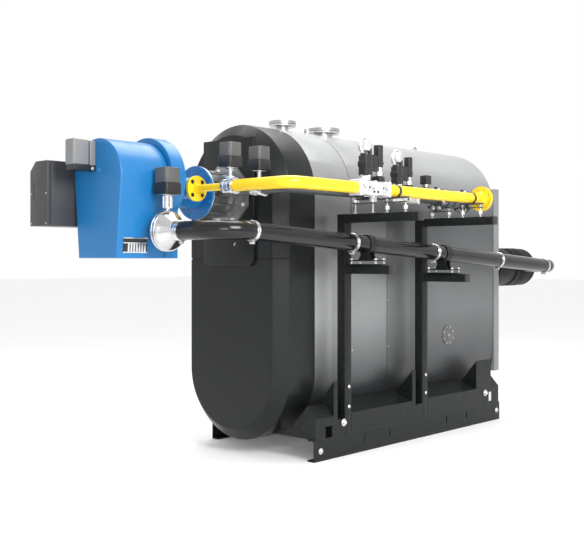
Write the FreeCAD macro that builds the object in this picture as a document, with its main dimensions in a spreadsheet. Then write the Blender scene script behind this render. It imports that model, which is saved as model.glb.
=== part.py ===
# Industrial hot-water boiler with a forced-draught gas burner, a flue-gas
# recirculation pipe and two gas lines carried on cantilever frames.
# Frame: +Z up, +X from the burner end to the flue end, origin on the floor under the
# middle of the base, on the boiler's centre plane. "Right" is the -Y side, where the
# pipework stands. All sizes in millimetres.
import FreeCAD, Part
import Sketcher
import math
import os
import re

SIZES = {
    # boiler shell: an upright flat-sided oval in section
    "half_width": 487,
    "shell_top": 2300,
    "shell_bottom": 90,
    "hood_front": -1370,
    "hood_depth": 340,
    "hood_bevel": 84,
    "hood_split": 1360,
    "seam_front": -633,
    "seam_middle": -201,
    "jacket_rear": 1350,
    "cover_depth": 80,
    "cover_margin": 8,
    "cover_bottom": 385,
    "cover_top": 1974,
    # raised panel on the hood, behind the burner flange
    "panel_half": 250,
    "panel_depth": 22,
    "panel_bottom": 1310,
    "panel_drop": 110,
    "panel_taper": 35,
    # flue gas outlet
    "flue_side": -340,
    "flue_level": 1290,
    "flue_radius": 173,
    "flue_wall": 5,
    "flue_length": 530,
    "spigot_radius": 170,
    "spigot_length": 100,
    # base rails (channels on edge), their tie, pedestals and end plates
    "rail_half_length": 1200,
    "left_rail_front": -1065,
    "rail_height": 148,
    "rail_right_gap": 145,
    "rail_left_gap": 23,
    "rail_flange": 62,
    "rail_web": 8,
    "flange_plate": 10,
    "tie_width": 120,
    "tie_plate": 10,
    "pedestal_inset": 87,
    "shoulder_inset": 57,
    "saddle_drop": 213,
    "saddle_slope": 74,
    "foot_drop": 210,
    "foot_slope": 82,
    "foot_inset": 75,
    "foot_fall": 175,
    "gusset_drop": 55,
    "gusset_fall": 282,
    "gusset_width": 42,
    "step_drop": 320,
    "plate_drop": 377,
    "foot_front": -1190,
    "foot_length": 190,
    "foot_hole_front": -1085,
    "foot_hole_width": 70,
    "foot_hole_height": 76,
    "foot_hole_depth": 60,
    "slot_width": 12,
    "slot_height": 60,
    "slot_bottom": 62,
    "slot_one": -666,
    "slot_two": -366,
    "slot_three": 384,
    "slot_four": 674,
    "gusset_middle": -78,
    "gusset_rear": 830,
    "rear_foot_front": 1060,
    "rear_foot_back": 1185,
    "end_plate": 10,
    # cantilever frames of rectangular tube
    "post_size": 72,
    "tube_size": 60,
    "post_one": -878,
    "post_two": 55,
    "frame_top": 1667,
    "arm_length": 608,
    "bracket_length": 378,
    "bracket_one_top": 1315,
    "bracket_two_top": 1248,
    # flue-gas recirculation pipe
    "recirc_gap": 313,
    "recirc_radius": 57.15,
    "recirc_front": -1994,
    "recirc_rear": 1700,
    "recirc_front_level": 1525,
    "recirc_rear_level": 1303,
    "recirc_front_bend": 204.5,
    "recirc_rear_bend": 171.5,
    "clamp_front_inset": 40,
    "clamp_one": -1010,
    "clamp_two": -50,
    "clamp_three": 880,
    "clamp_rear_inset": 30,
    "band_grip": 7,
    "band_width": 26,
    "shoe_length": 120,
    "shoe_spread": 236,
    "shoe_plate": 10,
    "shoe_web": 70,
    "collar_wall": 8,
    "damper_radius": 125,
    "damper_width": 40,
    "damper_side": -315,
    "cone_length": 96,
    "damper_neck_radius": 70,
    "stem_radius": 32,
    "stem_top": 1749,
    "yoke_height": 85,
    "drive_width": 122,
    "drive_depth": 126,
    "drive_height": 162,
    # gas lines
    "gas_radius": 38.05,
    "gas_level": 1807,
    "gas_bend": 95,
    "outer_gap": 553,
    "outer_vertex": -1880,
    "outer_end": 240,
    "inner_gap": 283,
    "inner_vertex": -1610,
    "block_length": 325,
    "block_half": 51,
    "outer_block": -1282,
    "inner_block": -570,
    "gas_flange_radius": 92.5,
    "gas_flange_plate": 20,
    "gas_flange_pcd": 145,
    "gas_flange_hole": 9,
    "strainer_front": 30,
    "strainer_length": 380,
    "strainer_radius": 58,
    "throttle_radius": 52,
    "throttle_width": 100,
    "outer_throttle": -535,
    "inner_throttle": -520,
    "throttle_drive_level": 1925,
    "throttle_drive_height": 150,
    "throttle_drive_size": 112,
    "inlet_radius": 24.15,
    "inlet_flange_radius": 82,
    "inlet_flange_side": -214,
    "inlet_flange_plate": 18,
    "head_radius": 40,
    "head_height": 165,
    "coil_half": 20,
    "coil_lift": 90,
    "coil_neck_radius": 27,
    "coil_top": 2094,
    "dome_radius": 61,
    "dome_depth": 84,
    "dome_rise": 55,
    "head_pitch": 140,
    "head_offset": 105,
    "rod_radius": 6,
    "rod_spread": 75,
    "slim_sleeve_radius": 17,
    "slim_sleeve_lift": 18,
    "slim_sleeve_height": 28,
    "wide_sleeve_radius": 27,
    "wide_sleeve_lift": 76,
    "wide_sleeve_height": 42,
    "bar_plate": 10,
    "bar_length": 190,
    "bar_width": 40,
    "switch_x": -100,
    "switch_size": 70,
    "switch_bottom": 1905,
    "switch_top": 1980,
    # burner
    "burner_front": -2490,
    "burner_back": -2120,
    "burner_radius": 237,
    "burner_level": 1855,
    "burner_bottom": 1360,
    "burner_foot": 192,
    "band_radius": 273,
    "band_back": -2010,
    "neck_radius": 100,
    "neck_level": 1800,
    "disc_radius": 180,
    "disc_plate": 20,
    "disc_front": -1700,
    "duct_radius": 160,
    "plate_half": 205,
    "plate_corner": 120,
    "plate_thick": 20,
    "boss_radius": 60,
    "control_front": -2686,
    "control_back": -2260,
    "control_side": 430,
    "control_bottom": 1559,
    "control_top": 1961,
    "control_cut": 60,
    "terminal_front": -2654,
    "terminal_low": 10,
    "terminal_high": 100,
    "terminal_bottom": 1891,
    "terminal_top": 2080,
    # connections on top and on the side
    "flow_x": -370,
    "flow_neck": 70,
    "flow_flange": 125,
    "flow_rise": 64,
    "flow_pcd": 210,
    "safety_x": -834,
    "safety_neck": 44.5,
    "safety_flange": 100,
    "safety_rise": 72,
    "safety_pcd": 160,
    "top_flange_plate": 22,
    "top_flange_hole": 9,
    "vent_x": -560,
    "vent_radius": 22,
    "vent_rise": 44,
    "eye_x": 850,
    "eye_radius": 34,
    "eye_hole": 16,
    "eye_hole_rise": 8,
    "eye_rise": 6,
    "eye_plate": 14,
    "port_x": 630,
    "port_level": 740,
    "port_radius": 80,
    "port_plate": 14,
}

doc = FreeCAD.newDocument("Boiler")
sheet = doc.addObject("Spreadsheet::Sheet", "Sizes")
for row, (alias, size) in enumerate(SIZES.items(), start=1):
    sheet.set(f"A{row}", alias)
    sheet.set(f"B{row}", str(size))
    sheet.setAlias(f"B{row}", alias)
doc.recompute()

Vector = FreeCAD.Vector
Rotation = FreeCAD.Rotation
TURN = {
    "X": Rotation(Vector(0, 1, 0), 90),
    "Y": Rotation(Vector(1, 0, 0), -90),
    "Z": Rotation(),
}
PLANE = {"X": "YZ_Plane", "Y": "XZ_Plane", "Z": "XY_Plane"}
subparts = []

WORD = r"\b[a-z]\w{3,}\b(?!\()"
DERIVED = {
    "hood_back": "hood_front + hood_depth",
    "upper_centre": "shell_top - half_width",
    "lower_centre": "shell_bottom + half_width",
    "saddle_top": "lower_centre - saddle_drop",
    "saddle_knee": "saddle_top - saddle_slope",
    "foot_top": "lower_centre - foot_drop",
    "foot_knee": "foot_top - foot_slope",
    "gusset_top": "lower_centre - gusset_drop",
    "gusset_front": "foot_front + foot_length",
    "gusset_back": "gusset_front + gusset_width",
    "middle_gusset_back": "gusset_middle + gusset_width",
    "post_one_back": "post_one + post_size",
    "post_two_back": "post_two + post_size",
    "step_top": "lower_centre - step_drop",
    "panel_face": "hood_front - panel_depth",
    "panel_top": "shell_top - panel_drop",
    "plate_front": "panel_face - plate_thick",
    "cover_back": "jacket_rear + cover_depth",
    "cover_half": "half_width + cover_margin",
    "spigot_front": "cover_back + flue_length",
    "rail_right": "half_width + rail_right_gap",
    "rail_left": "half_width + rail_left_gap",
    "pedestal_inner": "half_width - pedestal_inset",
    "saddle_shoulder": "half_width - shoulder_inset",
    "arm_reach": "rail_right + arm_length",
    "bracket_reach": "rail_right + bracket_length",
    "recirc_side": "-(half_width + recirc_gap)",
    "recirc_fall": "(recirc_front_level - recirc_rear_level) / (recirc_rear - recirc_front)",
    "damper_x": "recirc_front - recirc_front_bend",
    "return_x": "recirc_rear + recirc_rear_bend",
    "outer_side": "-(half_width + outer_gap)",
    "inner_side": "-(half_width + inner_gap)",
    "flow_top": "shell_top + flow_rise",
    "safety_top": "shell_top + safety_rise",
    "vent_top": "shell_top + vent_rise",
    "eye_level": "shell_top + eye_rise",
}
SLOTS = ("slot_one", "slot_two", "slot_three", "slot_four")
CLAMPS = (
    "recirc_front + clamp_front_inset", "clamp_one", "clamp_two", "clamp_three",
    "recirc_rear - clamp_rear_inset",
)
POSTS = (("post_one", "bracket_one_top"), ("post_two", "bracket_two_top"))


def cell(text):
    """Write out the derived places, then point every alias at its cell in the sheet."""
    text = str(text)
    while any(word in DERIVED for word in re.findall(WORD, text)):
        text = re.sub(WORD, lambda found: f"({DERIVED.get(found[0], found[0])})", text)
    return re.sub(WORD, r"Sizes.\g<0>", text)


def number(text):
    """The present value of an expression."""
    return float(sheet.evalExpression(cell(text)))


def recirc_level(x):
    """Height of the recirculation pipe's centre line at x; it falls towards the flue."""
    return f"(recirc_front_level - ({x} - recirc_front) * recirc_fall)"


def place(item, x, y, z, turn=Rotation()):
    item.Placement = FreeCAD.Placement(Vector(), turn)
    for axis, text in zip("xyz", (x, y, z)):
        item.setExpression(f"Placement.Base.{axis}", cell(text))
    return item


def box(x, y, z):
    """A block between a low and a high value along each axis."""
    item = doc.addObject("Part::Box", "Block")
    for size, (low, high) in zip(("Length", "Width", "Height"), (x, y, z)):
        item.setExpression(size, cell(f"({high}) - ({low})"))
    return place(item, x[0], y[0], z[0])


def on_axis(item, axis, low, across):
    """Place a turned solid whose own axis runs along a frame axis."""
    first, second = across
    spot = {"X": (low, first, second), "Y": (first, low, second), "Z": (first, second, low)}
    return place(item, *spot[axis], TURN[axis])


def rod(axis, low, high, across, radius):
    item = doc.addObject("Part::Cylinder", "Rod")
    item.setExpression("Radius", cell(radius))
    item.setExpression("Height", cell(f"({high}) - ({low})"))
    return on_axis(item, axis, low, across)


def cone(axis, low, high, across, low_radius, high_radius):
    item = doc.addObject("Part::Cone", "Taper")
    item.setExpression("Radius1", cell(low_radius))
    item.setExpression("Radius2", cell(high_radius))
    item.setExpression("Height", cell(f"({high}) - ({low})"))
    return on_axis(item, axis, low, across)


def elbow(x, y, z, bend, radius, start):
    """A level quarter bend about a centre, from the start angle in degrees."""
    item = doc.addObject("Part::Torus", "Elbow")
    item.setExpression("Radius1", cell(bend))
    item.setExpression("Radius2", cell(radius))
    item.Angle3 = 90
    return place(item, x, y, z, Rotation(Vector(0, 0, 1), start))


def sloped_rod(x_low, x_high, radius):
    """A length of the falling recirculation line, between two values of x."""
    item = doc.addObject("Part::Cylinder", "Sloped")
    item.setExpression("Radius", cell(radius))
    item.setExpression("Height", cell(f"(({x_high}) - ({x_low})) * sqrt(1 + recirc_fall ^ 2)"))
    slope = math.degrees(math.atan(number("recirc_fall")))
    turn = Rotation(Vector(0, 1, 0), 90 + slope)
    return place(item, x_low, "recirc_side", recirc_level(x_low), turn)


def cut(base, tool):
    item = doc.addObject("Part::Cut", "Trimmed")
    item.Base = base
    item.Tool = tool
    return item


def common(first, second):
    item = doc.addObject("Part::Common", "Shared")
    item.Base = first
    item.Tool = second
    return item


def fuse(*shapes):
    item = doc.addObject("Part::MultiFuse", "Welded")
    item.Shapes = list(shapes)
    item.Refine = True
    return item


def join(*shapes):
    """Separate solids in one sub-part."""
    item = doc.addObject("Part::Compound", "Group")
    item.Links = list(shapes)
    return item


def profile(name, axis, points, low, high):
    """A body padded along an axis from a closed outline of expressions."""
    body = doc.addObject("PartDesign::Body", name)
    plane = next(f for f in body.Origin.OriginFeatures if f.Role == PLANE[axis])
    sketch = body.newObject("Sketcher::SketchObject", f"{name}_outline")
    sketch.AttachmentSupport = [(plane, "")]
    sketch.MapMode = "FlatFace"
    offset = f"-({high})" if axis == "Y" else low
    sketch.setExpression("AttachmentOffset.Base.z", cell(offset))
    spots = [Vector(number(u), number(v), 0) for u, v in points]
    for index, spot in enumerate(spots):
        sketch.addGeometry(Part.LineSegment(spot, spots[(index + 1) % len(spots)]), False)
    for index, (u, v) in enumerate(points):
        following = (index + 1) % len(points)
        sketch.addConstraint(Sketcher.Constraint("Coincident", index, 2, following, 1))
        for kind, place_text in (("DistanceX", u), ("DistanceY", v)):
            value = number(place_text)
            which = sketch.addConstraint(Sketcher.Constraint(kind, -1, 1, index, 1, value))
            sketch.setExpression(f"Constraints[{which}]", cell(place_text))
    pad = body.newObject("PartDesign::Pad", f"{name}_pad")
    pad.Profile = sketch
    pad.setExpression("Length", cell(f"({high}) - ({low})"))
    body.Tip = pad
    return body


def oval(low, high):
    """The shell's flat-sided oval section, between two values of x."""
    upper = rod("X", low, high, ("0", "upper_centre"), "half_width")
    lower = rod("X", low, high, ("0", "lower_centre"), "half_width")
    middle = box((low, high), ("-half_width", "half_width"), ("lower_centre", "upper_centre"))
    return fuse(upper, middle, lower)


def hood():
    """The hood's oval, bevelled all round its front edge."""
    shoulder = "(hood_front + hood_bevel)"
    narrow = "(half_width - hood_bevel)"
    upper = cone("X", "hood_front", shoulder, ("0", "upper_centre"), narrow, "half_width")
    lower = cone("X", "hood_front", shoulder, ("0", "lower_centre"), narrow, "half_width")
    outline = (
        (shoulder, "-half_width"), ("hood_front", f"-{narrow}"),
        ("hood_front", narrow), (shoulder, "half_width"),
    )
    middle = profile("hood_bevel_middle", "Z", outline, "lower_centre", "upper_centre")
    return fuse(upper, middle, lower, oval(shoulder, "hood_back"))


def flange(axis, low, high, across, radius, pcd, hole, count):
    """A round flange with holes on a circle, straddling the centre lines."""
    disc = rod(axis, low, high, across, radius)
    holes = []
    for index in range(count):
        angle = math.pi * (2 * index + 1) / count
        spot = (
            f"{across[0]} + {pcd} / 2 * {math.cos(angle):.6f}",
            f"{across[1]} + {pcd} / 2 * {math.sin(angle):.6f}",
        )
        holes.append(rod(axis, f"{low} - 1", f"{high} + 1", spot, hole))
    return cut(disc, join(*holes))


def subpart(label, item):
    """Give a finished piece its name."""
    item.Label = label
    subparts.append(item)


def shell():
    """Hood halves, jacket bays, rear cover and raised panel."""
    wide = ("-half_width - 1", "half_width + 1")
    along = ("hood_front - 1", "hood_back + 1")
    whole = hood()
    subpart("hood_upper", common(whole, box(along, wide, ("hood_split", "shell_top + 1"))))
    subpart("hood_lower", common(whole, box(along, wide, ("shell_bottom - 1", "hood_split"))))
    subpart("jacket_front_bay", oval("hood_back", "seam_front"))
    subpart("jacket_middle_bay", oval("seam_front", "seam_middle"))
    subpart("jacket_rear_bay", oval("seam_middle", "jacket_rear"))
    subpart("rear_cover", box(
        ("jacket_rear", "cover_back"), ("-cover_half", "cover_half"), ("cover_bottom", "cover_top"),
    ))
    outline = (
        ("-panel_half", "panel_top"),
        ("-panel_half", "panel_bottom + panel_taper"),
        ("-(panel_half - panel_taper)", "panel_bottom"),
        ("panel_half - panel_taper", "panel_bottom"),
        ("panel_half", "panel_bottom + panel_taper"),
        ("panel_half", "panel_top"),
    )
    subpart("hood_panel", profile("hood_panel", "X", outline, "panel_face", "hood_front"))


def flue_duct():
    """Open round duct on the rear cover, necked to a spigot at its end."""
    across = ("flue_side", "flue_level")
    end = "spigot_front + spigot_length"
    outside = fuse(
        rod("X", "cover_back", "spigot_front", across, "flue_radius"),
        rod("X", "spigot_front", end, across, "spigot_radius"),
    )
    inside = rod("X", "cover_back - 1", f"{end} + 1", across, "spigot_radius - flue_wall")
    subpart("flue_duct", cut(outside, inside))


def rail(name, outer, side, front):
    """A channel on edge, its flanges pointing inwards, slotted through its web."""
    web = f"({outer} - {side} * rail_web)"
    toe = f"({outer} - {side} * rail_flange)"
    outline = (
        (outer, "0"), (outer, "rail_height"), (toe, "rail_height"),
        (toe, "rail_height - flange_plate"), (web, "rail_height - flange_plate"),
        (web, "flange_plate"), (toe, "flange_plate"), (toe, "0"),
    )
    channel = profile(f"{name}_channel", "X", outline, front, "rail_half_length")
    slots = []
    for low in SLOTS:
        along = (low, f"{low} + slot_width")
        across = (f"{outer} - rail_web * 2", f"{outer} + rail_web * 2")
        slots.append(box(along, across, ("slot_bottom", "slot_bottom + slot_height")))
    subpart(name, cut(channel, join(*slots)))


def pedestal(name, side, low, high, crest):
    """A folded-plate box on the rail, under a crest given from the rail inwards."""
    corners = ((crest[0][0], "rail_height"), *crest, ("pedestal_inner", "rail_height"))
    outline = tuple((f"({side} * {across})", level) for across, level in corners)
    return cut(profile(name, "X", outline, low, high), envelope)


def right_base():
    """Rail, saddles under the shell, feet, gussets beside the posts and low steps."""
    rail("right_rail", "(-rail_right)", "(-1)", "-rail_half_length")
    outer = "rail_right"
    saddle = ((outer, "saddle_knee"), ("saddle_shoulder", "saddle_top"), ("pedestal_inner", "saddle_top"))
    foot = (
        (outer, "foot_knee"), ("(rail_right - foot_inset)", "foot_top"),
        ("pedestal_inner", "foot_top - foot_fall"),
    )
    gusset = ((outer, "gusset_top"), ("pedestal_inner", "gusset_top - gusset_fall"))
    step = ((outer, "step_top"), ("pedestal_inner", "step_top"))
    stations = {
        "right_saddles": (
            ("foot_front", "gusset_front", foot),
            ("post_one_back", "gusset_middle", saddle),
            ("post_two_back", "gusset_rear", saddle),
            ("rear_foot_front", "rear_foot_back", foot),
        ),
        "right_gussets": (
            ("gusset_front", "gusset_back", gusset),
            ("gusset_middle", "middle_gusset_back", gusset),
            ("gusset_rear", "rear_foot_front", gusset),
            ("gusset_back", "post_one", step),
            ("middle_gusset_back", "post_two", step),
        ),
    }
    window = box(
        ("foot_hole_front", "foot_hole_front + foot_hole_width"),
        ("-rail_right - 1", "-rail_right + foot_hole_depth"),
        ("rail_height", "rail_height + foot_hole_height"),
    )
    for label, rows in stations.items():
        made = [
            pedestal(f"{label}_{index}", "(-1)", low, high, crest)
            for index, (low, high, crest) in enumerate(rows, start=1)
        ]
        if label == "right_saddles":
            made[0] = cut(made[0], window)
        subpart(label, join(*made))


def left_base():
    """The far side's shorter rail and its four saddles."""
    rail("left_rail", "rail_left", "1", "left_rail_front")
    saddle = (
        ("rail_left", "saddle_knee"), ("saddle_shoulder", "saddle_top"), ("pedestal_inner", "saddle_top"),
    )
    rows = (
        ("left_rail_front", "left_rail_front + foot_length"),
        ("post_one_back", "gusset_middle"),
        ("post_two_back", "gusset_rear"),
        ("rear_foot_front", "rear_foot_back"),
    )
    subpart("left_saddles", join(*(
        pedestal(f"left_saddle_{index}", "1", low, high, saddle)
        for index, (low, high) in enumerate(rows, start=1)
    )))


def floor_tie():
    """The flat bar that joins both rails under the middle of the shell."""
    subpart("floor_tie", box(
        ("-tie_width / 2", "tie_width / 2"), ("-(rail_right - rail_flange)", "rail_left - rail_flange"),
        ("0", "tie_plate"),
    ))


def end_plates():
    """Plates from the end pedestals to the shell's underside."""
    right = ("-pedestal_inner", "0")
    left = ("0", "pedestal_inner")
    plates = []
    for low, across in (
        ("foot_front", right), ("left_rail_front", left),
        ("rear_foot_back - end_plate", right), ("rear_foot_back - end_plate", left),
    ):
        block = box((low, f"{low} + end_plate"), across, ("rail_height", "lower_centre - plate_drop"))
        plates.append(cut(block, envelope))
    subpart("end_plates", join(*plates))


def frames():
    """Posts, top arms and short brackets of rectangular tube."""
    posts, arms, brackets = [], [], []
    outer = "-rail_right"
    for front, bracket_top in POSTS:
        along = (front, f"{front} + post_size")
        inner = "-(rail_right - post_size)"
        posts.append(box(along, (outer, inner), ("rail_height", "frame_top")))
        arms.append(box(along, ("-arm_reach", outer), ("frame_top - tube_size", "frame_top")))
        brackets.append(box(along, ("-bracket_reach", outer), (f"{bracket_top} - tube_size", bracket_top)))
    subpart("frame_posts", join(*posts))
    subpart("frame_arms", join(*arms))
    subpart("pipe_brackets", join(*brackets))


def recirculation():
    """Flue-gas recirculation pipe from the flue duct to the burner's damper."""
    front_centre = "recirc_side + recirc_front_bend"
    level = "recirc_front_level"
    turn = elbow("recirc_front", front_centre, level, "recirc_front_bend", "recirc_radius", 180)
    cone_start = "(damper_side - damper_width / 2 - cone_length)"
    across = ("damper_x", level)
    stub = rod("Y", front_centre, cone_start, across, "recirc_radius")
    subpart("recirc_front_elbow", fuse(turn, stub))
    subpart("recirc_pipe", sloped_rod("recirc_front", "recirc_rear", "recirc_radius"))
    rear_centre = "recirc_side + recirc_rear_bend"
    level = "recirc_rear_level"
    rear_turn = elbow("recirc_rear", rear_centre, level, "recirc_rear_bend", "recirc_radius", 270)
    rear_stub = rod("Y", rear_centre, "flue_side", ("return_x", level), "recirc_radius")
    duct = rod("X", "cover_back", "spigot_front", ("flue_side", "flue_level"), "flue_radius")
    subpart("recirc_rear_elbow", cut(fuse(rear_turn, rear_stub), duct))

    bands = []
    for middle in CLAMPS:
        low = f"({middle} - band_width / 2)"
        high = f"({middle} + band_width / 2)"
        ring = sloped_rod(low, high, "recirc_radius + band_grip")
        bands.append(cut(ring, sloped_rod(f"({low} - 5)", f"({high} + 5)", "recirc_radius")))
    low = f"({cone_start} - band_width)"
    ring = rod("Y", low, cone_start, across, "recirc_radius + band_grip")
    bands.append(cut(ring, rod("Y", f"{low} - 1", f"{cone_start} + 1", across, "recirc_radius")))
    subpart("recirc_bands", join(*bands))

    shoes = []
    for front, bracket_top in POSTS:
        middle = f"({front} + post_size / 2)"
        half = "shoe_length / 2"
        along = (f"{middle} - {half}", f"{middle} + {half}")
        spread = ("recirc_side - shoe_spread / 2", "recirc_side + shoe_spread / 2")
        plate = box(along, spread, (bracket_top, f"{bracket_top} + shoe_plate"))
        sides = ("recirc_side - shoe_web / 2", "recirc_side + shoe_web / 2")
        web = box(along, sides, (bracket_top, recirc_level(middle)))
        low = f"({middle} - shoe_web / 2)"
        high = f"({middle} + shoe_web / 2)"
        collar = sloped_rod(low, high, "recirc_radius + collar_wall")
        bore = sloped_rod(f"({middle} - shoe_length)", f"({middle} + shoe_length)", "recirc_radius")
        shoes.append(cut(fuse(plate, web, collar), bore))
    subpart("pipe_shoes", join(*shoes))


def damper():
    """Reducer, butterfly damper, its stem and its drive between the pipe and the burner."""
    across = ("damper_x", "recirc_front_level")
    low = "(damper_side - damper_width / 2)"
    high = "(damper_side + damper_width / 2)"
    reducer = cone("Y", f"{low} - cone_length", low, across, "recirc_radius", "damper_radius")
    subpart("recirc_reducer", reducer)
    body = rod("Y", low, high, across, "damper_radius")
    neck = cut(rod("Y", high, "-burner_foot / 2", across, "damper_neck_radius"), burner_space)
    stem_spot = ("damper_x", "damper_side")
    drive_bottom = "stem_top"
    stem = rod("Z", "recirc_front_level", drive_bottom, stem_spot, "stem_radius / 2")
    yoke = rod("Z", "stem_top - yoke_height", drive_bottom, stem_spot, "stem_radius")
    subpart("recirc_damper", fuse(body, neck, stem, yoke))
    drive = box(
        ("damper_x - drive_width / 2", "damper_x + drive_width / 2"),
        ("damper_side - drive_depth / 2", "damper_side + drive_depth / 2"),
        (drive_bottom, f"{drive_bottom} + drive_height"),
    )
    subpart("recirc_damper_drive", drive)


def throttle(x, side):
    """A butterfly valve in the cross run of a gas line, and its drive."""
    across = (x, "gas_level")
    low = f"({side} - throttle_width / 2)"
    high = f"({side} + throttle_width / 2)"
    body = rod("Y", low, high, across, "throttle_radius")
    stem = rod("Z", "gas_level", "throttle_drive_level", (x, side), "stem_radius / 2")
    half = "throttle_drive_size / 2"
    drive = box(
        (f"{x} - {half}", f"{x} + {half}"), (f"{side} - {half}", f"{side} + {half}"),
        ("throttle_drive_level", "throttle_drive_level + throttle_drive_height"),
    )
    return fuse(body, stem), drive


def valve_block(front, side):
    """A double gas valve: square body and its two actuators."""
    back = f"({front} + block_length)"
    sides = (f"{side} - block_half", f"{side} + block_half")
    body = box((front, back), sides, ("gas_level - block_half", "gas_level + block_half"))
    top = "(gas_level + block_half)"
    first = f"({front} + head_offset)"
    second = f"({first} + head_pitch)"
    head_top = f"({top} + head_height)"
    head = rod("Z", top, head_top, (first, side), "head_radius")
    dome = rod("Y", f"{side} - dome_depth / 2", f"{side} + dome_depth / 2",
               (first, f"{head_top} + dome_rise"), "dome_radius")
    neck = rod("Z", top, f"{top} + coil_lift", (second, side), "coil_neck_radius")
    coil = box(
        (f"{second} - coil_half", f"{second} + coil_half"), (f"{side} - coil_half", f"{side} + coil_half"),
        (f"{top} + coil_lift", "coil_top"),
    )
    return body, [fuse(head, dome), fuse(neck, coil)]


def support(post, side, radius, sleeve):
    """Two threaded rods on an arm, with sleeves, and the bar that a line lies on."""
    middle = f"({post} + post_size / 2)"
    seat = f"(gas_level - {radius})"
    parts = [box(
        (f"{middle} - bar_width / 2", f"{middle} + bar_width / 2"),
        (f"{side} - bar_length / 2", f"{side} + bar_length / 2"),
        (f"{seat} - bar_plate", seat),
    )]
    sleeve_low = f"(frame_top + {sleeve}_sleeve_lift)"
    sleeve_high = f"({sleeve_low} + {sleeve}_sleeve_height)"
    for sign in ("-", "+"):
        spot = (middle, f"{side} {sign} rod_spread")
        parts.append(rod("Z", "frame_top", seat, spot, "rod_radius"))
        parts.append(rod("Z", sleeve_low, sleeve_high, spot, f"{sleeve}_sleeve_radius"))
    return fuse(*parts)


def gas_lines():
    """Both gas lines: rear flange, valve block, bend and cross run to the burner."""
    blocks = (("outer", "outer_block", "outer_side"), ("inner", "inner_block", "inner_side"))
    heads = []
    for name, front, side in blocks:
        body, made = valve_block(front, side)
        subpart(f"{name}_gas_valve", body)
        heads.extend(made)
    subpart("gas_valve_actuators", join(*heads))

    outer = ("outer_side", "gas_level")
    flange_front = "(outer_end - gas_flange_plate)"
    subpart("outer_gas_pipe", join(
        rod("X", "outer_vertex + gas_bend", "outer_block", outer, "gas_radius"),
        rod("X", "outer_block + block_length", flange_front, outer, "gas_radius"),
    ))
    subpart("outer_gas_flange", flange(
        "X", flange_front, "outer_end", outer, "gas_flange_radius",
        "gas_flange_pcd", "gas_flange_hole", 8,
    ))
    inner = ("inner_side", "gas_level")
    subpart("inner_gas_pipe", join(
        rod("X", "inner_vertex + gas_bend", "inner_block", inner, "gas_radius"),
        rod("X", "inner_block + block_length", "strainer_front", inner, "gas_radius"),
    ))
    strainer_back = "(strainer_front + strainer_length)"
    subpart("inner_gas_strainer", fuse(
        rod("X", "strainer_front", strainer_back, inner, "strainer_radius"),
        rod("X", "strainer_front", "strainer_front + gas_flange_plate", inner, "gas_flange_radius"),
        flange("X", f"{strainer_back} - gas_flange_plate", strainer_back, inner, "gas_flange_radius",
               "gas_flange_pcd", "gas_flange_hole", 8),
    ))

    throttles, drives = [], []
    for x, side in (("outer_vertex", "outer_throttle"), ("inner_vertex", "inner_throttle")):
        body, drive = throttle(x, side)
        throttles.append(body)
        drives.append(drive)
    subpart("gas_throttles", join(*throttles))
    subpart("gas_throttle_drives", join(*drives))

    outer_bend = elbow("outer_vertex + gas_bend", "outer_side + gas_bend", "gas_level",
                       "gas_bend", "gas_radius", 180)
    outer_run = rod("Y", "outer_side + gas_bend", "outer_throttle - throttle_width / 2",
                    ("outer_vertex", "gas_level"), "gas_radius")
    subpart("outer_gas_bend", fuse(outer_bend, outer_run))
    inner_bend = elbow("inner_vertex + gas_bend", "inner_side + gas_bend", "gas_level",
                       "gas_bend", "gas_radius", 180)
    inner_run = rod("Y", "inner_side + gas_bend", "inner_throttle - throttle_width / 2",
                    ("inner_vertex", "gas_level"), "gas_radius")
    subpart("inner_gas_bend", fuse(inner_bend, inner_run))

    inlet_low = "(inlet_flange_side - inlet_flange_plate)"
    across = ("outer_vertex", "gas_level")
    pipe = rod("Y", "outer_throttle + throttle_width / 2", inlet_low, across, "inlet_radius")
    disc = rod("Y", inlet_low, "inlet_flange_side", across, "inlet_flange_radius")
    subpart("burner_gas_inlet", fuse(pipe, disc))
    across = ("inner_vertex", "gas_level")
    head_run = rod("Y", "inner_throttle + throttle_width / 2", "0", across, "gas_radius")
    subpart("head_gas_inlet", cut(head_run, duct_space))

    subpart("gas_pipe_supports", join(
        support("post_one", "outer_side", "gas_radius", "slim"),
        support("post_two", "outer_side", "gas_radius", "slim"),
        support("post_one", "inner_side", "gas_radius", "wide"),
        support("post_two", "inner_side", "strainer_radius", "slim"),
    ))

    half = "switch_size / 2"
    case = box(
        (f"switch_x - {half}", f"switch_x + {half}"), (f"inner_side - {half}", f"inner_side + {half}"),
        ("switch_bottom", "switch_top"),
    )
    line = rod("X", "inner_block + block_length", "strainer_front", inner, "gas_radius")
    stalk = cut(rod("Z", "gas_level", "switch_bottom", ("switch_x", "inner_side"), "stem_radius / 2"), line)
    subpart("gas_pressure_switch", fuse(case, stalk))


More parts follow.
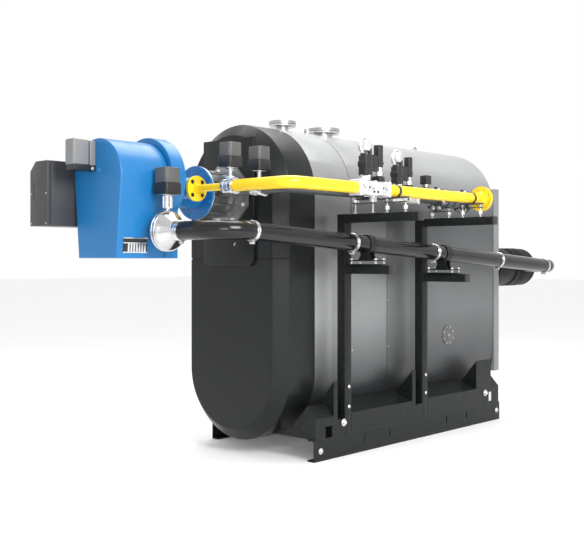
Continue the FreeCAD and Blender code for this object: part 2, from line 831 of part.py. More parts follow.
def burner():
    """Burner housing, rear band, neck, head duct, boiler plate and control boxes."""
    centre = ("0", "burner_level")
    outline = (
        ("-burner_foot", "burner_bottom"), ("burner_foot", "burner_bottom"),
        ("burner_radius", "burner_level"), ("-burner_radius", "burner_level"),
    )
    skirt = profile("burner_skirt", "X", outline, "burner_front", "burner_back")
    arch = rod("X", "burner_front", "burner_back", centre, "burner_radius")
    subpart("burner_housing", fuse(skirt, arch))
    ring = rod("X", "burner_back", "band_back", centre, "band_radius")
    across = ("-burner_foot", "burner_foot")
    lower = box(("burner_back", "band_back"), across, ("burner_bottom", "burner_level"))
    subpart("burner_rear_band", fuse(ring, lower))

    axis = ("0", "neck_level")
    neck = rod("X", "band_back", "disc_front", axis, "neck_radius")
    disc = rod("X", "disc_front", "disc_front + disc_plate", axis, "disc_radius")
    boss = rod("Y", "inlet_flange_side", "0", ("outer_vertex", "gas_level"), "boss_radius")
    subpart("burner_neck", fuse(neck, disc, boss))
    subpart("burner_head_duct", rod("X", "disc_front + disc_plate", "plate_front", axis, "duct_radius"))
    corner = "(plate_half - plate_corner)"
    outline = tuple(
        (first, f"neck_level + {second}")
        for first, second in (
            (f"(-{corner})", "(-plate_half)"), (corner, "(-plate_half)"),
            ("plate_half", f"(-{corner})"), ("plate_half", corner),
            (corner, "plate_half"), (f"(-{corner})", "plate_half"),
            ("(-plate_half)", corner), ("(-plate_half)", f"(-{corner})"),
        )
    )
    subpart("burner_plate", profile("burner_plate", "X", outline, "plate_front", "panel_face"))

    outline = (
        ("burner_radius", "control_bottom"), ("control_side", "control_bottom"),
        ("control_side", "control_top - control_cut"), ("control_side - control_cut", "control_top"),
        ("burner_radius", "control_top"),
    )
    subpart("burner_control_box", profile("control_box", "X", outline, "control_front", "control_back"))
    subpart("burner_terminal_box", box(
        ("terminal_front", "burner_front"), ("terminal_low", "terminal_high"),
        ("terminal_bottom", "terminal_top"),
    ))


def top_fittings():
    """Connections on the crown, the lifting eye and the port in the side."""
    nozzles = (
        ("flow_nozzle", "flow_x", "flow_neck", "flow_flange", "flow_top", "flow_pcd"),
        ("safety_nozzle", "safety_x", "safety_neck", "safety_flange", "safety_top", "safety_pcd"),
    )
    for name, x, neck, radius, top, pcd in nozzles:
        spot = (x, "0")
        pipe = cut(rod("Z", "shell_top - half_width", f"{top} - top_flange_plate", spot, neck), envelope)
        disc = flange("Z", f"{top} - top_flange_plate", top, spot, radius, pcd, "top_flange_hole", 8)
        subpart(name, fuse(pipe, disc))
    vent = rod("Z", "shell_top - half_width", "vent_top", ("vent_x", "0"), "vent_radius")
    subpart("vent_socket", cut(vent, envelope))
    low = "(-eye_plate / 2)"
    eye = rod("Y", low, "eye_plate / 2", ("eye_x", "eye_level"), "eye_radius")
    centre = ("eye_x", "eye_level + eye_hole_rise")
    hole = rod("Y", f"{low} - 1", "eye_plate / 2 + 1", centre, "eye_hole")
    subpart("lifting_eye", cut(cut(eye, envelope), hole))
    port = rod("Y", "-(half_width + port_plate)", "-half_width", ("port_x", "port_level"), "port_radius")
    subpart("side_port", port)


envelope = oval("hood_front", "jacket_rear")
burner_space = profile("burner_space", "X", (
    ("-burner_foot", "burner_bottom"), ("burner_foot", "burner_bottom"),
    ("burner_radius", "burner_level"), ("-burner_radius", "burner_level"),
), "burner_front", "burner_back")
duct_space = rod("X", "disc_front", "hood_front", ("0", "neck_level"), "duct_radius")

for make in (
    shell, flue_duct, right_base, left_base, floor_tie, end_plates, frames,
    recirculation, damper, gas_lines, burner, top_fittings,
):
    make()
doc.recompute()

for item in doc.Objects:
    if "Invalid" in item.State or "Error" in item.State:
        raise RuntimeError(f"{item.Label}: {item.State}")
for item in subparts:
    if item.Shape.isNull() or not item.Shape.isValid():
        raise RuntimeError(f"{item.Label}: bad shape")
os.makedirs("parts", exist_ok=True)
for item in subparts:
    item.Shape.exportStep(f"parts/{item.Label}.step")
print(len(subparts), "sub-parts")
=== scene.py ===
import math

import bmesh
import bpy
from mathutils import Matrix, Vector

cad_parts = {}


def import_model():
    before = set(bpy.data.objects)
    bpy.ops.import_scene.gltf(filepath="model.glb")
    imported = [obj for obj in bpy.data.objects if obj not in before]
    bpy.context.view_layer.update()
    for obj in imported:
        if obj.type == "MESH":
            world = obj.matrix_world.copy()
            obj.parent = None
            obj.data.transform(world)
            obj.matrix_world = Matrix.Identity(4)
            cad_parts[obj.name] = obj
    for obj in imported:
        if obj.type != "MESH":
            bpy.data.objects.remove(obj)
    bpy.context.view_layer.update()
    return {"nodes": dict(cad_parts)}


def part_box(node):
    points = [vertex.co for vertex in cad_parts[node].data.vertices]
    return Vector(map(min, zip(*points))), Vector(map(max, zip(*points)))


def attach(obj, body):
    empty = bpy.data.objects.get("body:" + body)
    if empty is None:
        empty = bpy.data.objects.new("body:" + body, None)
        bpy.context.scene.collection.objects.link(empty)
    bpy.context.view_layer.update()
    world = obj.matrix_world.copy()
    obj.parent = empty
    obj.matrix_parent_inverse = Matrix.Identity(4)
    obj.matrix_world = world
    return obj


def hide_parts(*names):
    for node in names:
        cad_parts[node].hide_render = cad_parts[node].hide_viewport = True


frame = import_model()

BOX = {name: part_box(name) for name in frame["nodes"]}
MID = {name: (low + high) / 2 for name, (low, high) in BOX.items()}
FRONT, BACK = Vector((-1, 0, 0)), Vector((1, 0, 0))
RIGHT, LEFT = Vector((0, -1, 0)), Vector((0, 1, 0))
UP, DOWN = Vector((0, 0, 1)), Vector((0, 0, -1))
scene = bpy.context.scene


# ---------------------------------------------------------------- materials

class Finish:
    """A procedural Principled material, built node by node."""

    def __init__(self, name, **sockets):
        self.material = bpy.data.materials.new(name)
        self.material.use_nodes = True
        self.tree = self.material.node_tree
        self.shader = self.tree.nodes["Principled BSDF"]
        for key, value in sockets.items():
            self.shader.inputs[key.replace("_", " ")].default_value = value
        self.coords = self.node("ShaderNodeTexCoord").outputs["Object"]

    def node(self, kind, **settings):
        made = self.tree.nodes.new(kind)
        for key, value in settings.items():
            setattr(made, key, value)
        return made

    def link(self, start, end):
        self.tree.links.new(start, end)

    def noise(self, scale, detail=4.0, rough=0.55, stretch=(1, 1, 1)):
        """Cloudy noise over the piece, drawn out along an axis by a small stretch value."""
        mapping = self.node("ShaderNodeMapping")
        mapping.inputs["Scale"].default_value = stretch
        self.link(self.coords, mapping.inputs["Vector"])
        made = self.node("ShaderNodeTexNoise")
        made.inputs["Scale"].default_value = scale
        made.inputs["Detail"].default_value = detail
        made.inputs["Roughness"].default_value = rough
        self.link(mapping.outputs["Vector"], made.inputs["Vector"])
        return made.outputs["Fac"]

    def spread(self, source, low, high, start=0.3, end=0.7):
        """Map start..end of a value onto low..high."""
        made = self.node("ShaderNodeMapRange")
        for key, value in (("From Min", start), ("From Max", end), ("To Min", low), ("To Max", high)):
            made.inputs[key].default_value = value
        self.link(source, made.inputs["Value"])
        return made.outputs["Result"]

    def blend(self, factor, first, second):
        """Mix two colours or sockets by a factor."""
        made = self.node("ShaderNodeMix", data_type="RGBA")
        for socket, value in ((made.inputs[6], first), (made.inputs[7], second)):
            if hasattr(value, "is_linked"):
                self.link(value, socket)
            else:
                socket.default_value = (*value, 1)
        self.link(factor, made.inputs[0])
        return made.outputs[2]

    def edges(self, low=0.52, high=0.60):
        """Nearly 1 on worn outside corners, 0 elsewhere."""
        point = self.node("ShaderNodeNewGeometry").outputs["Pointiness"]
        return self.spread(point, 0, 1, low, high)

    def upward(self, source):
        """The Z part of a direction or a place."""
        split = self.node("ShaderNodeSeparateXYZ")
        self.link(source, split.inputs[0])
        return split.outputs["Z"]

    def facing_up(self):
        """1 on level faces, 0 on upright ones."""
        return self.upward(self.node("ShaderNodeNewGeometry").outputs["Normal"])

    def height(self, low, high):
        """0 below one height, 1 above the other."""
        return self.spread(self.upward(self.coords), 0, 1, low, high)

    def multiply(self, first, second):
        made = self.node("ShaderNodeMath", operation="MULTIPLY")
        self.link(first, made.inputs[0])
        if hasattr(second, "is_linked"):
            self.link(second, made.inputs[1])
        else:
            made.inputs[1].default_value = second
        return made.outputs[0]

    def colour(self, source):
        self.link(source, self.shader.inputs["Base Color"])

    def roughness(self, source):
        self.link(source, self.shader.inputs["Roughness"])

    def bump(self, *layers):
        """Each layer is a height, its strength and its depth in metres."""
        below = None
        for source, strength, depth in layers:
            made = self.node("ShaderNodeBump")
            made.inputs["Strength"].default_value = strength
            made.inputs["Distance"].default_value = depth
            self.link(source, made.inputs["Height"])
            if below is not None:
                self.link(below, made.inputs["Normal"])
            below = made.outputs["Normal"]
        self.link(below, self.shader.inputs["Normal"])


def shade(colour, factor):
    """A colour made lighter or darker."""
    return tuple(min(1.0, channel * factor) for channel in colour)


def paint(name, colour, rough, peel=0.12, mottle=0.10, wear=0.35, dust=0.10, shine=0.5):
    """Sprayed paint: faint clouding, orange peel, rubbed edges and settled dust."""
    made = Finish(name, Specular_IOR_Level=shine)
    cloud = made.spread(made.noise(2.3), 0, 1)
    base = made.blend(cloud, shade(colour, 1 - mottle), shade(colour, 1 + mottle))
    rubbed = made.multiply(made.edges(), made.spread(made.noise(38, 6), 0, wear, 0.42, 0.68))
    pale = tuple(0.55 * channel + 0.10 for channel in colour)
    base = made.blend(rubbed, base, pale)
    settled = made.spread(made.facing_up(), 0, dust, 0.35, 1.0)
    settled = made.multiply(settled, made.spread(made.noise(9, 5), 0.3, 1))
    base = made.blend(settled, base, (0.34, 0.33, 0.31))
    made.colour(base)
    made.roughness(made.spread(made.noise(14, 5), rough - 0.05, rough + 0.07))
    made.bump((made.noise(420, 2), peel, 0.0006), (made.noise(2.0, 3), 0.10, 0.004))
    return made.material


def jacket_metal_painted_light(name, bay_light_tone):
    """Coated steel sheet with painted light: painted shade near the floor, the bay's painted light level, a
    painted shadow band under the arms, then a painted highlight on the crown.
    """
    made = Finish(name, Metallic=0.45)
    side = (bay_light_tone, bay_light_tone + 0.005, bay_light_tone + 0.008)
    shadow_belt = (0.5 * bay_light_tone, 0.5 * bay_light_tone + 0.004, 0.5 * bay_light_tone + 0.007)
    # Painted shade: near-black below 0.45 m, rising to the bay's painted light level by 0.95 m.
    base = made.blend(made.height(0.45, 0.95), (0.030, 0.032, 0.034), side)
    # Painted shadow: from 1.20 m the sheet fades to a band at half the bay's level, under the arms and
    # pipes.
    base = made.blend(made.height(1.20, 1.62), base, shadow_belt)
    # Painted highlight: from 1.72 m up to 2.10 m the sheet turns light.
    base = made.blend(made.height(1.72, 2.10), base, (0.430, 0.435, 0.440))
    grain = made.noise(30, 3, 0.6, (18, 18, 0.6))
    base = made.blend(made.spread(grain, 0, 0.08), base, (0.26, 0.27, 0.28))
    base = made.blend(made.spread(made.noise(1.7, 4), 0, 0.16), base, (0.10, 0.104, 0.108))
    made.colour(base)
    made.roughness(made.spread(made.noise(5, 6), 0.30, 0.42))
    waves, speckle = made.noise(1.3, 2), made.noise(600, 2)
    made.bump((waves, 0.30, 0.010), (grain, 0.04, 0.0008), (speckle, 0.05, 0.0004))
    return made.material


def bare_metal(name, colour, rough, stretch=(1, 1, 1), grain=140, depth=0.12):
    """Machined or brushed metal with faint handling marks."""
    made = Finish(name, Metallic=1.0)
    brushed = made.noise(grain, 4, 0.6, stretch)
    base = made.blend(made.spread(brushed, 0, 1), shade(colour, 0.88), shade(colour, 1.08))
    base = made.blend(made.spread(made.noise(7, 5), 0, 0.35, 0.5, 0.8), base, shade(colour, 0.62))
    made.colour(base)
    made.roughness(made.spread(made.noise(18, 5), rough - 0.06, rough + 0.10))
    made.bump((brushed, depth, 0.0008))
    return made.material


def cast_metal(name, colour, rough, pits=0.35):
    """Sand-cast alloy: pebbled skin, dull hollows and brighter edges."""
    made = Finish(name, Metallic=0.85)
    skin = made.noise(170, 6, 0.7)
    base = made.blend(made.spread(made.noise(22, 5), 0, 1), shade(colour, 0.75), shade(colour, 1.1))
    base = made.blend(made.edges(0.50, 0.58), base, shade(colour, 1.35))
    made.colour(base)
    made.roughness(made.spread(skin, rough - 0.08, rough + 0.12))
    made.bump((skin, pits, 0.0012))
    return made.material


def plastic(name, colour, rough):
    """Moulded housing with a fine spark-eroded grain."""
    made = Finish(name)
    base = made.blend(made.spread(made.noise(6, 4), 0, 1), shade(colour, 0.85), shade(colour, 1.2))
    base = made.blend(made.multiply(made.edges(), 0.20), base, tuple(c + 0.06 for c in colour))
    made.colour(base)
    made.roughness(made.spread(made.noise(40, 4), rough - 0.06, rough + 0.08))
    made.bump((made.noise(900, 2), 0.22, 0.0005))
    return made.material


ANTHRACITE = paint("anthracite_coat", (0.009, 0.010, 0.0105), 0.34,
                   peel=0.08, mottle=0.06, wear=0.06, dust=0.02, shine=0.28)
# Lit and shaded copies of one sheet: their values paint light falling from the burner end, lightest on the
# front bay and darkest on the rear bay.
JACKET_SHADED_MIDDLE = jacket_metal_painted_light("jacket_sheet", 0.29)
JACKET_LIT_FRONT = jacket_metal_painted_light("jacket_front_painted_light", 0.40)
JACKET_SHADED_REAR = jacket_metal_painted_light("jacket_rear_painted_shade", 0.17)
COVER = paint("rear_cover_coat", (0.22, 0.225, 0.23), 0.36, peel=0.08, mottle=0.05, wear=0.08, dust=0.03)
FLUE = paint("flue_matt_black", (0.005, 0.005, 0.0055), 0.48, peel=0.10, wear=0.03, dust=0.01, shine=0.15)
BLUE = paint("burner_blue_coat", (0.008, 0.155, 0.400), 0.36, peel=0.08, mottle=0.05, wear=0.05, dust=0.02)
PORT = bare_metal("port_cover_steel", (0.20, 0.20, 0.205), 0.42, (1, 6, 6), 60)
STEEL = bare_metal("plain_steel", (0.46, 0.465, 0.47), 0.30, (1, 6, 6), 60)
CAST_GREY = cast_metal("head_casting", (0.22, 0.222, 0.225), 0.36)
GREY = paint("control_box_coat", (0.040, 0.041, 0.043), 0.40, peel=0.16, mottle=0.06, wear=0.05, dust=0.03)
LIGHT_GREY = paint("terminal_box_coat", (0.200, 0.203, 0.206), 0.36,
                   peel=0.14, mottle=0.05, wear=0.05, dust=0.03)
YELLOW = paint("gas_yellow_coat", (0.880, 0.600, 0.010), 0.26, peel=0.06, mottle=0.02, wear=0.0, dust=0.0)
PIPE_GREY = paint("inner_pipe_coat", (0.050, 0.053, 0.056), 0.32, peel=0.08, wear=0.10, dust=0.04)
ALLOY = cast_metal("valve_alloy", (0.72, 0.725, 0.73), 0.30)
POLISHED = bare_metal("polished_steel", (0.66, 0.665, 0.67), 0.14, (1, 1, 1), 90, 0.04)
ZINC = bare_metal("zinc_plated", (0.74, 0.745, 0.75), 0.26, (1, 1, 1), 240, 0.08)
BLACK_PLASTIC = plastic("drive_black", (0.010, 0.010, 0.011), 0.34)
GREY_PLASTIC = plastic("drive_cover_grey", (0.085, 0.085, 0.083), 0.36)
GLOSS_BLACK = paint("pipe_gloss_black", (0.007, 0.007, 0.008), 0.14,
                    peel=0.05, mottle=0.05, wear=0.02, dust=0.01, shine=0.42)
FRAME_BLACK = paint("frame_coat", (0.007, 0.0085, 0.009), 0.38,
                    peel=0.06, mottle=0.05, wear=0.08, dust=0.01, shine=0.24)
# Near-black: dark joint lines on the base, and painted shade in the casing seams, the flue bore, the
# cabinet's vent openings and the louvre.
SHADE_AND_JOINT_BLACK = plastic("shadow_gap", (0.004, 0.004, 0.004), 0.6)
# Near-white metal: the real colour of the terminal box lamp, and painted light on the louvre bars and the
# burner disc's edge.
WHITE_METAL_AND_HIGHLIGHT = bare_metal("louvre_metal_and_painted_light", (0.88, 0.89, 0.90), 0.30)


# ---------------------------------------------------------------- mesh tools

class Shape:
    """Vertices and faces gathered from several closed forms."""

    def __init__(self):
        self.verts = []
        self.faces = []

    def add(self, verts, faces):
        """Append one closed form."""
        start = len(self.verts)
        self.verts.extend(Vector(v) for v in verts)
        self.faces.extend([start + index for index in face] for face in faces)
        return self

    def loft(self, rings):
        """Skin equal rings of points, closed by a face at each end."""
        count = len(rings[0])
        verts = [point for ring in rings for point in ring]
        faces = [list(range(count))[::-1], [len(verts) - count + k for k in range(count)]]
        for level in range(len(rings) - 1):
            base = level * count
            for k in range(count):
                after = (k + 1) % count
                faces.append([base + k, base + after, base + count + after, base + count + k])
        return self.add(verts, faces)

    def lathe(self, origin, axis, profile, steps=48, turn=0.0):
        """Revolve (distance along the axis, radius) pairs."""
        axis = Vector(axis).normalized()
        side = axis.orthogonal().normalized()
        other = axis.cross(side)
        rings = []
        for along, radius in profile:
            centre = Vector(origin) + axis * along
            rings.append([
                centre + (side * math.cos(a) + other * math.sin(a)) * max(radius, 1e-5)
                for a in (turn + 2 * math.pi * k / steps for k in range(steps))
            ])
        return self.loft(rings)

    def disc(self, origin, axis, low, high, radius, edge=0.0015, steps=48):
        """A short cylinder with eased rims."""
        edge = min(edge, radius / 3, (high - low) / 3)
        return self.lathe(origin, axis, [
            (low, radius - edge), (low + edge * 0.3, radius - edge * 0.3), (low + edge, radius),
            (high - edge, radius), (high - edge * 0.3, radius - edge * 0.3), (high, radius - edge),
        ], steps)

    def ring(self, origin, axis, low, high, inner, outer, edge=0.001, steps=48):
        """A tube section with eased outer rims."""
        return self.turned(origin, axis, [
            (low, inner), (low, outer - edge), (low + edge, outer),
            (high - edge, outer), (high, outer - edge), (high, inner),
        ], steps)

    def turned(self, origin, axis, outline, steps):
        """Revolve a closed outline of (distance along the axis, radius) pairs."""
        axis = Vector(axis).normalized()
        side = axis.orthogonal().normalized()
        other = axis.cross(side)
        size = len(outline)
        verts, faces = [], []
        for k in range(steps):
            angle = 2 * math.pi * k / steps
            way = side * math.cos(angle) + other * math.sin(angle)
            verts.extend(Vector(origin) + axis * along + way * radius for along, radius in outline)
            this, after = k * size, (k + 1) % steps * size
            for i in range(size):
                j = (i + 1) % size
                faces.append([this + i, this + j, after + j, after + i])
        return self.add(verts, faces)

    def tube(self, path, radius, steps=32):
        """A round bar along a list of points."""
        path = [Vector(p) for p in path]
        way = (path[1] - path[0]).normalized()
        side = way.orthogonal().normalized()
        rings = []
        for index, point in enumerate(path):
            ahead = path[min(index + 1, len(path) - 1)] - path[max(index - 1, 0)]
            ahead.normalize()
            side = (side - ahead * side.dot(ahead)).normalized()
            other = ahead.cross(side)
            rings.append([
                point + (side * math.cos(a) + other * math.sin(a)) * radius
                for a in (2 * math.pi * k / steps for k in range(steps))
            ])
        return self.loft(rings)

    def solid(self, mesh, bevel, segments):
        """Take in a BMesh body, with its edges eased."""
        if bevel > 0:
            bmesh.ops.bevel(mesh, geom=mesh.edges[:], offset=bevel, segments=segments,
                            affect="EDGES", profile=0.5)
        bmesh.ops.recalc_face_normals(mesh, faces=mesh.faces[:])
        mesh.verts.index_update()
        self.add([v.co.copy() for v in mesh.verts], [[v.index for v in f.verts] for f in mesh.faces])
        mesh.free()
        return self

    def block(self, low, high, bevel=0.002, segments=2, matrix=None):
        """A box with eased edges."""
        low, high = Vector(low), Vector(high)
        mesh = bmesh.new()
        bmesh.ops.create_cube(mesh, size=1)
        for v in mesh.verts:
            v.co = Vector((low[i] + (v.co[i] + 0.5) * (high[i] - low[i]) for i in range(3)))
            if matrix is not None:
                v.co = matrix @ v.co
        return self.solid(mesh, bevel, segments)

    def prism(self, outline, axis, low, high, bevel=0.002, segments=2):
        """An outline of the two other coordinates, drawn out along one axis."""
        def spot(u, v, w):
            return {"X": (w, u, v), "Y": (u, w, v), "Z": (u, v, w)}[axis]
        mesh = bmesh.new()
        start = [mesh.verts.new(spot(u, v, low)) for u, v in outline]
        end = [mesh.verts.new(spot(u, v, high)) for u, v in outline]
        mesh.faces.new(start)
        mesh.faces.new(end[::-1])
        for k in range(len(outline)):
            after = (k + 1) % len(outline)
            mesh.faces.new([start[k], end[k], end[after], start[after]])
        return self.solid(mesh, bevel, segments)

    def bolt(self, origin, axis, across=0.019, head=0.008, washer=0.0018, turn=0.2):
        """Washer and chamfered hexagon head."""
        radius = across / math.sqrt(3)
        self.disc(origin, axis, -0.001, washer, across * 0.88, 0.0004, 24)
        self.lathe(origin, axis, [
            (washer, radius * 0.97), (washer + head * 0.75, radius), (washer + head, radius * 0.82),
        ], 6, turn)
        top = washer + head
        return self.lathe(origin, axis, [(top - 0.001, radius * 0.72), (top + 0.0006, radius * 0.70)], 20)

    def bolt_circle(self, centre, axis, pcd, count, **sizes):
        """Bolts on a circle, straddling the centre lines."""
        axis = Vector(axis)
        side = UP if abs(axis.z) < 0.5 else BACK
        other = axis.cross(side)
        for k in range(count):
            angle = math.pi * (2 * k + 1) / count
            way = side * math.cos(angle) + other * math.sin(angle)
            self.bolt(Vector(centre) + way * pcd / 2, axis, **sizes)
        return self


def piece(name, shape, material, replaces=(), sharp=32):
    """Turn a shape into a named piece that rides on the boiler."""
    mesh = bpy.data.meshes.new(name)
    mesh.from_pydata([tuple(v) for v in shape.verts], [], shape.faces)
    mesh.validate()
    work = bmesh.new()
    work.from_mesh(mesh)
    bmesh.ops.recalc_face_normals(work, faces=work.faces[:])
    work.to_mesh(mesh)
    work.free()
    mesh.shade_smooth()
    mesh.set_sharp_from_angle(angle=math.radians(sharp))
    mesh.materials.append(material)
    obj = bpy.data.objects.new(name, mesh)
    scene.collection.objects.link(obj)
    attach(obj, "root")
    if replaces:
        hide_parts(*replaces)


def rounded(points, radius, steps=5):
    """Ease the inner corners of an open line of 2-D points."""
    points = [Vector(p) for p in points]
    out = [points[0]]
    for before, corner, after in zip(points, points[1:], points[2:]):
        first, second = before - corner, after - corner
        reach = min(radius, first.length * 0.45, second.length * 0.45)
        start, end = corner + first.normalized() * reach, corner + second.normalized() * reach
        for k in range(steps + 1):
            t = k / steps
            out.append(start * (1 - t) ** 2 + corner * (2 * t * (1 - t)) + end * t ** 2)
    out.append(points[-1])
    return out


def quarter(centre, start, end, steps=16):
    """Points of a level quarter bend from one point to another about a centre."""
    centre, start, end = Vector(centre), Vector(start), Vector(end)
    first, second = start - centre, end - centre
    return [
        centre + first * math.cos(a) + second * math.sin(a)
        for a in (math.pi / 2 * k / steps for k in range(steps + 1))
    ]


def corners(reach_x, reach_y):
    """The four corners of a rectangle about zero."""
    return [(x, y) for x in (-reach_x, reach_x) for y in (-reach_y, reach_y)]


def around(count, radius):
    """Evenly spaced points on a circle about zero, the first half a step round."""
    angles = [2 * math.pi * (k + 0.5) / count for k in range(count)]
    return [(radius * math.cos(a), radius * math.sin(a)) for a in angles]


def arc(x, radius, level, first=0.0, sweep=math.pi, steps=36, up=1):
    """Points of an arc in the plane across the boiler, from the left side over."""
    angles = [first + sweep * k / steps for k in range(steps + 1)]
    return [Vector((x, radius * math.cos(a), level + up * radius * math.sin(a))) for a in angles]


def oval_ring(x, half, inset):
    """The shell's flat-sided oval at one station."""
    radius = half - inset
    return arc(x, radius, HIGH_CENTRE, steps=28) + arc(x, radius, LOW_CENTRE, math.pi, steps=28)


def half_oval_ring(x, centre, flat, inset, up):
    """One end of the oval, cut off level at a height."""
    radius = HALF - inset
    curve = arc(x, radius, centre, up=up)
    return [Vector((x, radius, flat)), *curve, Vector((x, -radius, flat))]


# ---------------------------------------------------------------- casing

HALF = BOX["hood_upper"][1].y
LOW_CENTRE = BOX["hood_lower"][0].z + HALF
HIGH_CENTRE = BOX["hood_upper"][1].z - HALF
HOOD_BEVEL = 0.084
HOOD_EDGE = 0.007
SEAM = 0.002


def casing_section(front, back, bevel, edge):
    """Stations (x, inset) along a casing part, from the front face to the back one."""
    line = [(front, bevel + 0.03), (front, bevel), (front + bevel, 0), (back, 0), (back, 0.03)]
    return rounded(line, edge)


def hood():
    """Two hood halves with an eased bevel and a level joint between them."""
    low, high = BOX["hood_upper"]
    stations = casing_section(low.x, high.x - SEAM, HOOD_BEVEL, HOOD_EDGE)
    for name, centre, up in (("hood_upper", HIGH_CENTRE, 1), ("hood_lower", LOW_CENTRE, -1)):
        flat = low.z + up * 2 * SEAM
        shape = Shape().loft([half_oval_ring(x, centre, flat, inset, up) for x, inset in stations])
        piece(f"{name}_sheet", shape, ANTHRACITE, [name], sharp=60)
    # Painted shade: a near-black core shows in the level joint between the halves.
    inner = casing_section(low.x + 0.006, high.x, HOOD_BEVEL, HOOD_EDGE)
    core = Shape().loft([oval_ring(x, HALF - 0.004, inset) for x, inset in inner])
    piece("hood_joint_painted_shade", core, SHADE_AND_JOINT_BLACK, sharp=60)


def hood_panel():
    """Raised panel behind the burner, with its quarter-turn lock and the key slot."""
    low, high = BOX["hood_panel"]
    cut = 0.035
    outline = [
        (low.y, high.z), (low.y, low.z + cut), (low.y + cut, low.z),
        (high.y - cut, low.z), (high.y, low.z + cut), (high.y, high.z),
    ]
    shape = Shape().prism(outline, "X", low.x, high.x, 0.003, 3)
    piece("hood_panel_sheet", shape, ANTHRACITE, ["hood_panel"])
    spot = Vector((low.x, -0.077, 1.46))
    lock = Shape().disc(spot, FRONT, -0.002, 0.004, 0.015)
    piece("hood_lock", lock, BLACK_PLASTIC)
    turn = Matrix.Translation((low.x - 0.005, spot.y, spot.z)) @ Matrix.Rotation(math.radians(40), 4, "X")
    key = Shape().block((-0.004, -0.0035, -0.013), (0.002, 0.0035, 0.013), 0.0015, matrix=turn)
    piece("hood_lock_key", key, ZINC)


def jacket():
    """Jacket bays as separate sheets with rolled edges and painted light, a near-black core as painted shade
    in the seams between them, and rivets.
    """
    for name, sheet in (("jacket_front_bay", JACKET_LIT_FRONT), ("jacket_middle_bay", JACKET_SHADED_MIDDLE),
                        ("jacket_rear_bay", JACKET_SHADED_REAR)):
        low, high = BOX[name]
        stations = casing_section(low.x + SEAM, high.x - SEAM, 0.0, 0.004)
        shape = Shape().loft([oval_ring(x, HALF, inset) for x, inset in stations])
        piece(f"{name}_sheet", shape, sheet, [name], sharp=60)
    first, last = BOX["jacket_front_bay"][0].x, BOX["jacket_rear_bay"][1].x
    # Painted shade: a near-black core shows in the seam gaps between the bays.
    core = Shape().loft([oval_ring(x, HALF - 0.003, 0) for x in (first, last - 0.012)])
    piece("jacket_seam_painted_shade", core, SHADE_AND_JOINT_BLACK, sharp=60)
    rivets = Shape()
    levels = (0.70, 1.05, 1.40, 1.75)
    for seam in BOX["jacket_middle_bay"]:
        for way in (RIGHT, LEFT):
            for level in levels:
                rivets.disc((seam.x + 0.014, way.y * HALF, level), way, -0.001, 0.0008, 0.005)
    piece("jacket_rivets", rivets, ZINC)


def rear_cover():
    """Flue box on the back with the bolts of its clean-out doors."""
    low, high = BOX["rear_cover"]
    shape = Shape().block(low, high, 0.004, 3)
    piece("rear_cover_sheet", shape, COVER, ["rear_cover"])
    bolts = Shape()
    door_levels = (0.50, 0.99, 1.59, 1.87)
    for y in (low.y + 0.11, 0.0, high.y - 0.11):
        for z in door_levels:
            bolts.bolt((high.x, y, z), BACK, 0.017, 0.008, 0.0018)
    piece("rear_cover_screws", bolts, ZINC)


def side_port():
    """Inspection port: stepped cover with a ring of screws and a centre plug."""
    low, high = BOX["side_port"]
    centre = MID["side_port"]
    origin = (centre.x, high.y, centre.z)
    radius = (high.x - low.x) / 2
    cover = Shape().lathe(origin, RIGHT, [
        (0.0, radius * 0.99), (0.004, radius), (0.006, radius * 0.985), (0.006, radius * 0.80),
        (0.0085, radius * 0.78), (0.0085, radius * 0.42), (0.0115, radius * 0.40), (0.0115, radius * 0.12),
    ], 64)
    piece("side_port_cover", cover, PORT, ["side_port"])
    screws = Shape().bolt_circle((centre.x, high.y - 0.0055, centre.z), RIGHT, radius * 1.78, 8,
                                 across=0.010, head=0.004, washer=0.001)
    screws.disc((centre.x, high.y - 0.010, centre.z), RIGHT, 0, 0.004, 0.012)
    piece("side_port_screws", screws, STEEL)


def lifting_eye():
    """Forged eye with a rounded ring."""
    low, high = BOX["lifting_eye"]
    reach = (high.x - low.x) / 2
    centre = Vector((MID["lifting_eye"].x, 0, high.z - reach))
    ring_radius = reach - 0.008
    path = [
        centre + Vector((math.cos(a), 0, math.sin(a))) * ring_radius
        for a in (math.radians(-30 + 240 * k / 32) for k in range(33))
    ]
    eye = Shape().tube(path, 0.007, 16)
    piece("lifting_eye_ring", eye, STEEL, ["lifting_eye"])


def shell_lug():
    """Small ring on the casing joint."""
    x = BOX["hood_upper"][1].x
    centre = Vector((x - 0.004, -HALF + 0.006, 1.90))
    ring = Shape().ring(centre, RIGHT, -0.002, 0.005, 0.013, 0.021)
    piece("hood_lug", ring, ZINC)


def flue_duct():
    """Flue duct with a waist on each side of its joint band, a spigot and its open bore."""
    low, high = BOX["flue_duct"]
    y, z = MID["flue_duct"].yz
    outer, end = (high.z - low.z) / 2, high.x - low.x
    spigot, bore = outer - 0.003, outer - 0.008
    neck = end - 0.100
    waist, band = outer - 0.012, 0.32
    profile = [
        (0.0, bore), (0.0, outer), (band - 0.09, outer), (band - 0.05, waist), (band - 0.012, waist),
        (band - 0.009, outer - 0.001), (band + 0.009, outer - 0.001), (band + 0.012, waist),
        (band + 0.05, waist), (band + 0.09, outer), (neck - 0.004, outer), (neck, spigot),
        (end - 0.030, spigot), (end - 0.026, spigot - 0.003), (end - 0.018, spigot - 0.003),
        (end - 0.014, spigot), (end, spigot), (end, bore),
    ]
    shape = Shape().turned((low.x, y, z), BACK, profile, 96)
    piece("flue_duct_skin", shape, FLUE, ["flue_duct"])
    # Painted shade: a near-black disc closes the bore at the boiler end.
    back = Shape().disc((low.x, y, z), BACK, 0.001, 0.004, bore - 0.001)
    piece("flue_duct_bore_painted_shade", back, SHADE_AND_JOINT_BLACK)


# ---------------------------------------------------------------- base and frames

def keep(node, material):
    """Give a CAD piece its finish."""
    mesh = frame["nodes"][node].data
    for index in range(len(mesh.materials)):
        mesh.materials[index] = material
    if not mesh.materials:
        mesh.materials.append(material)


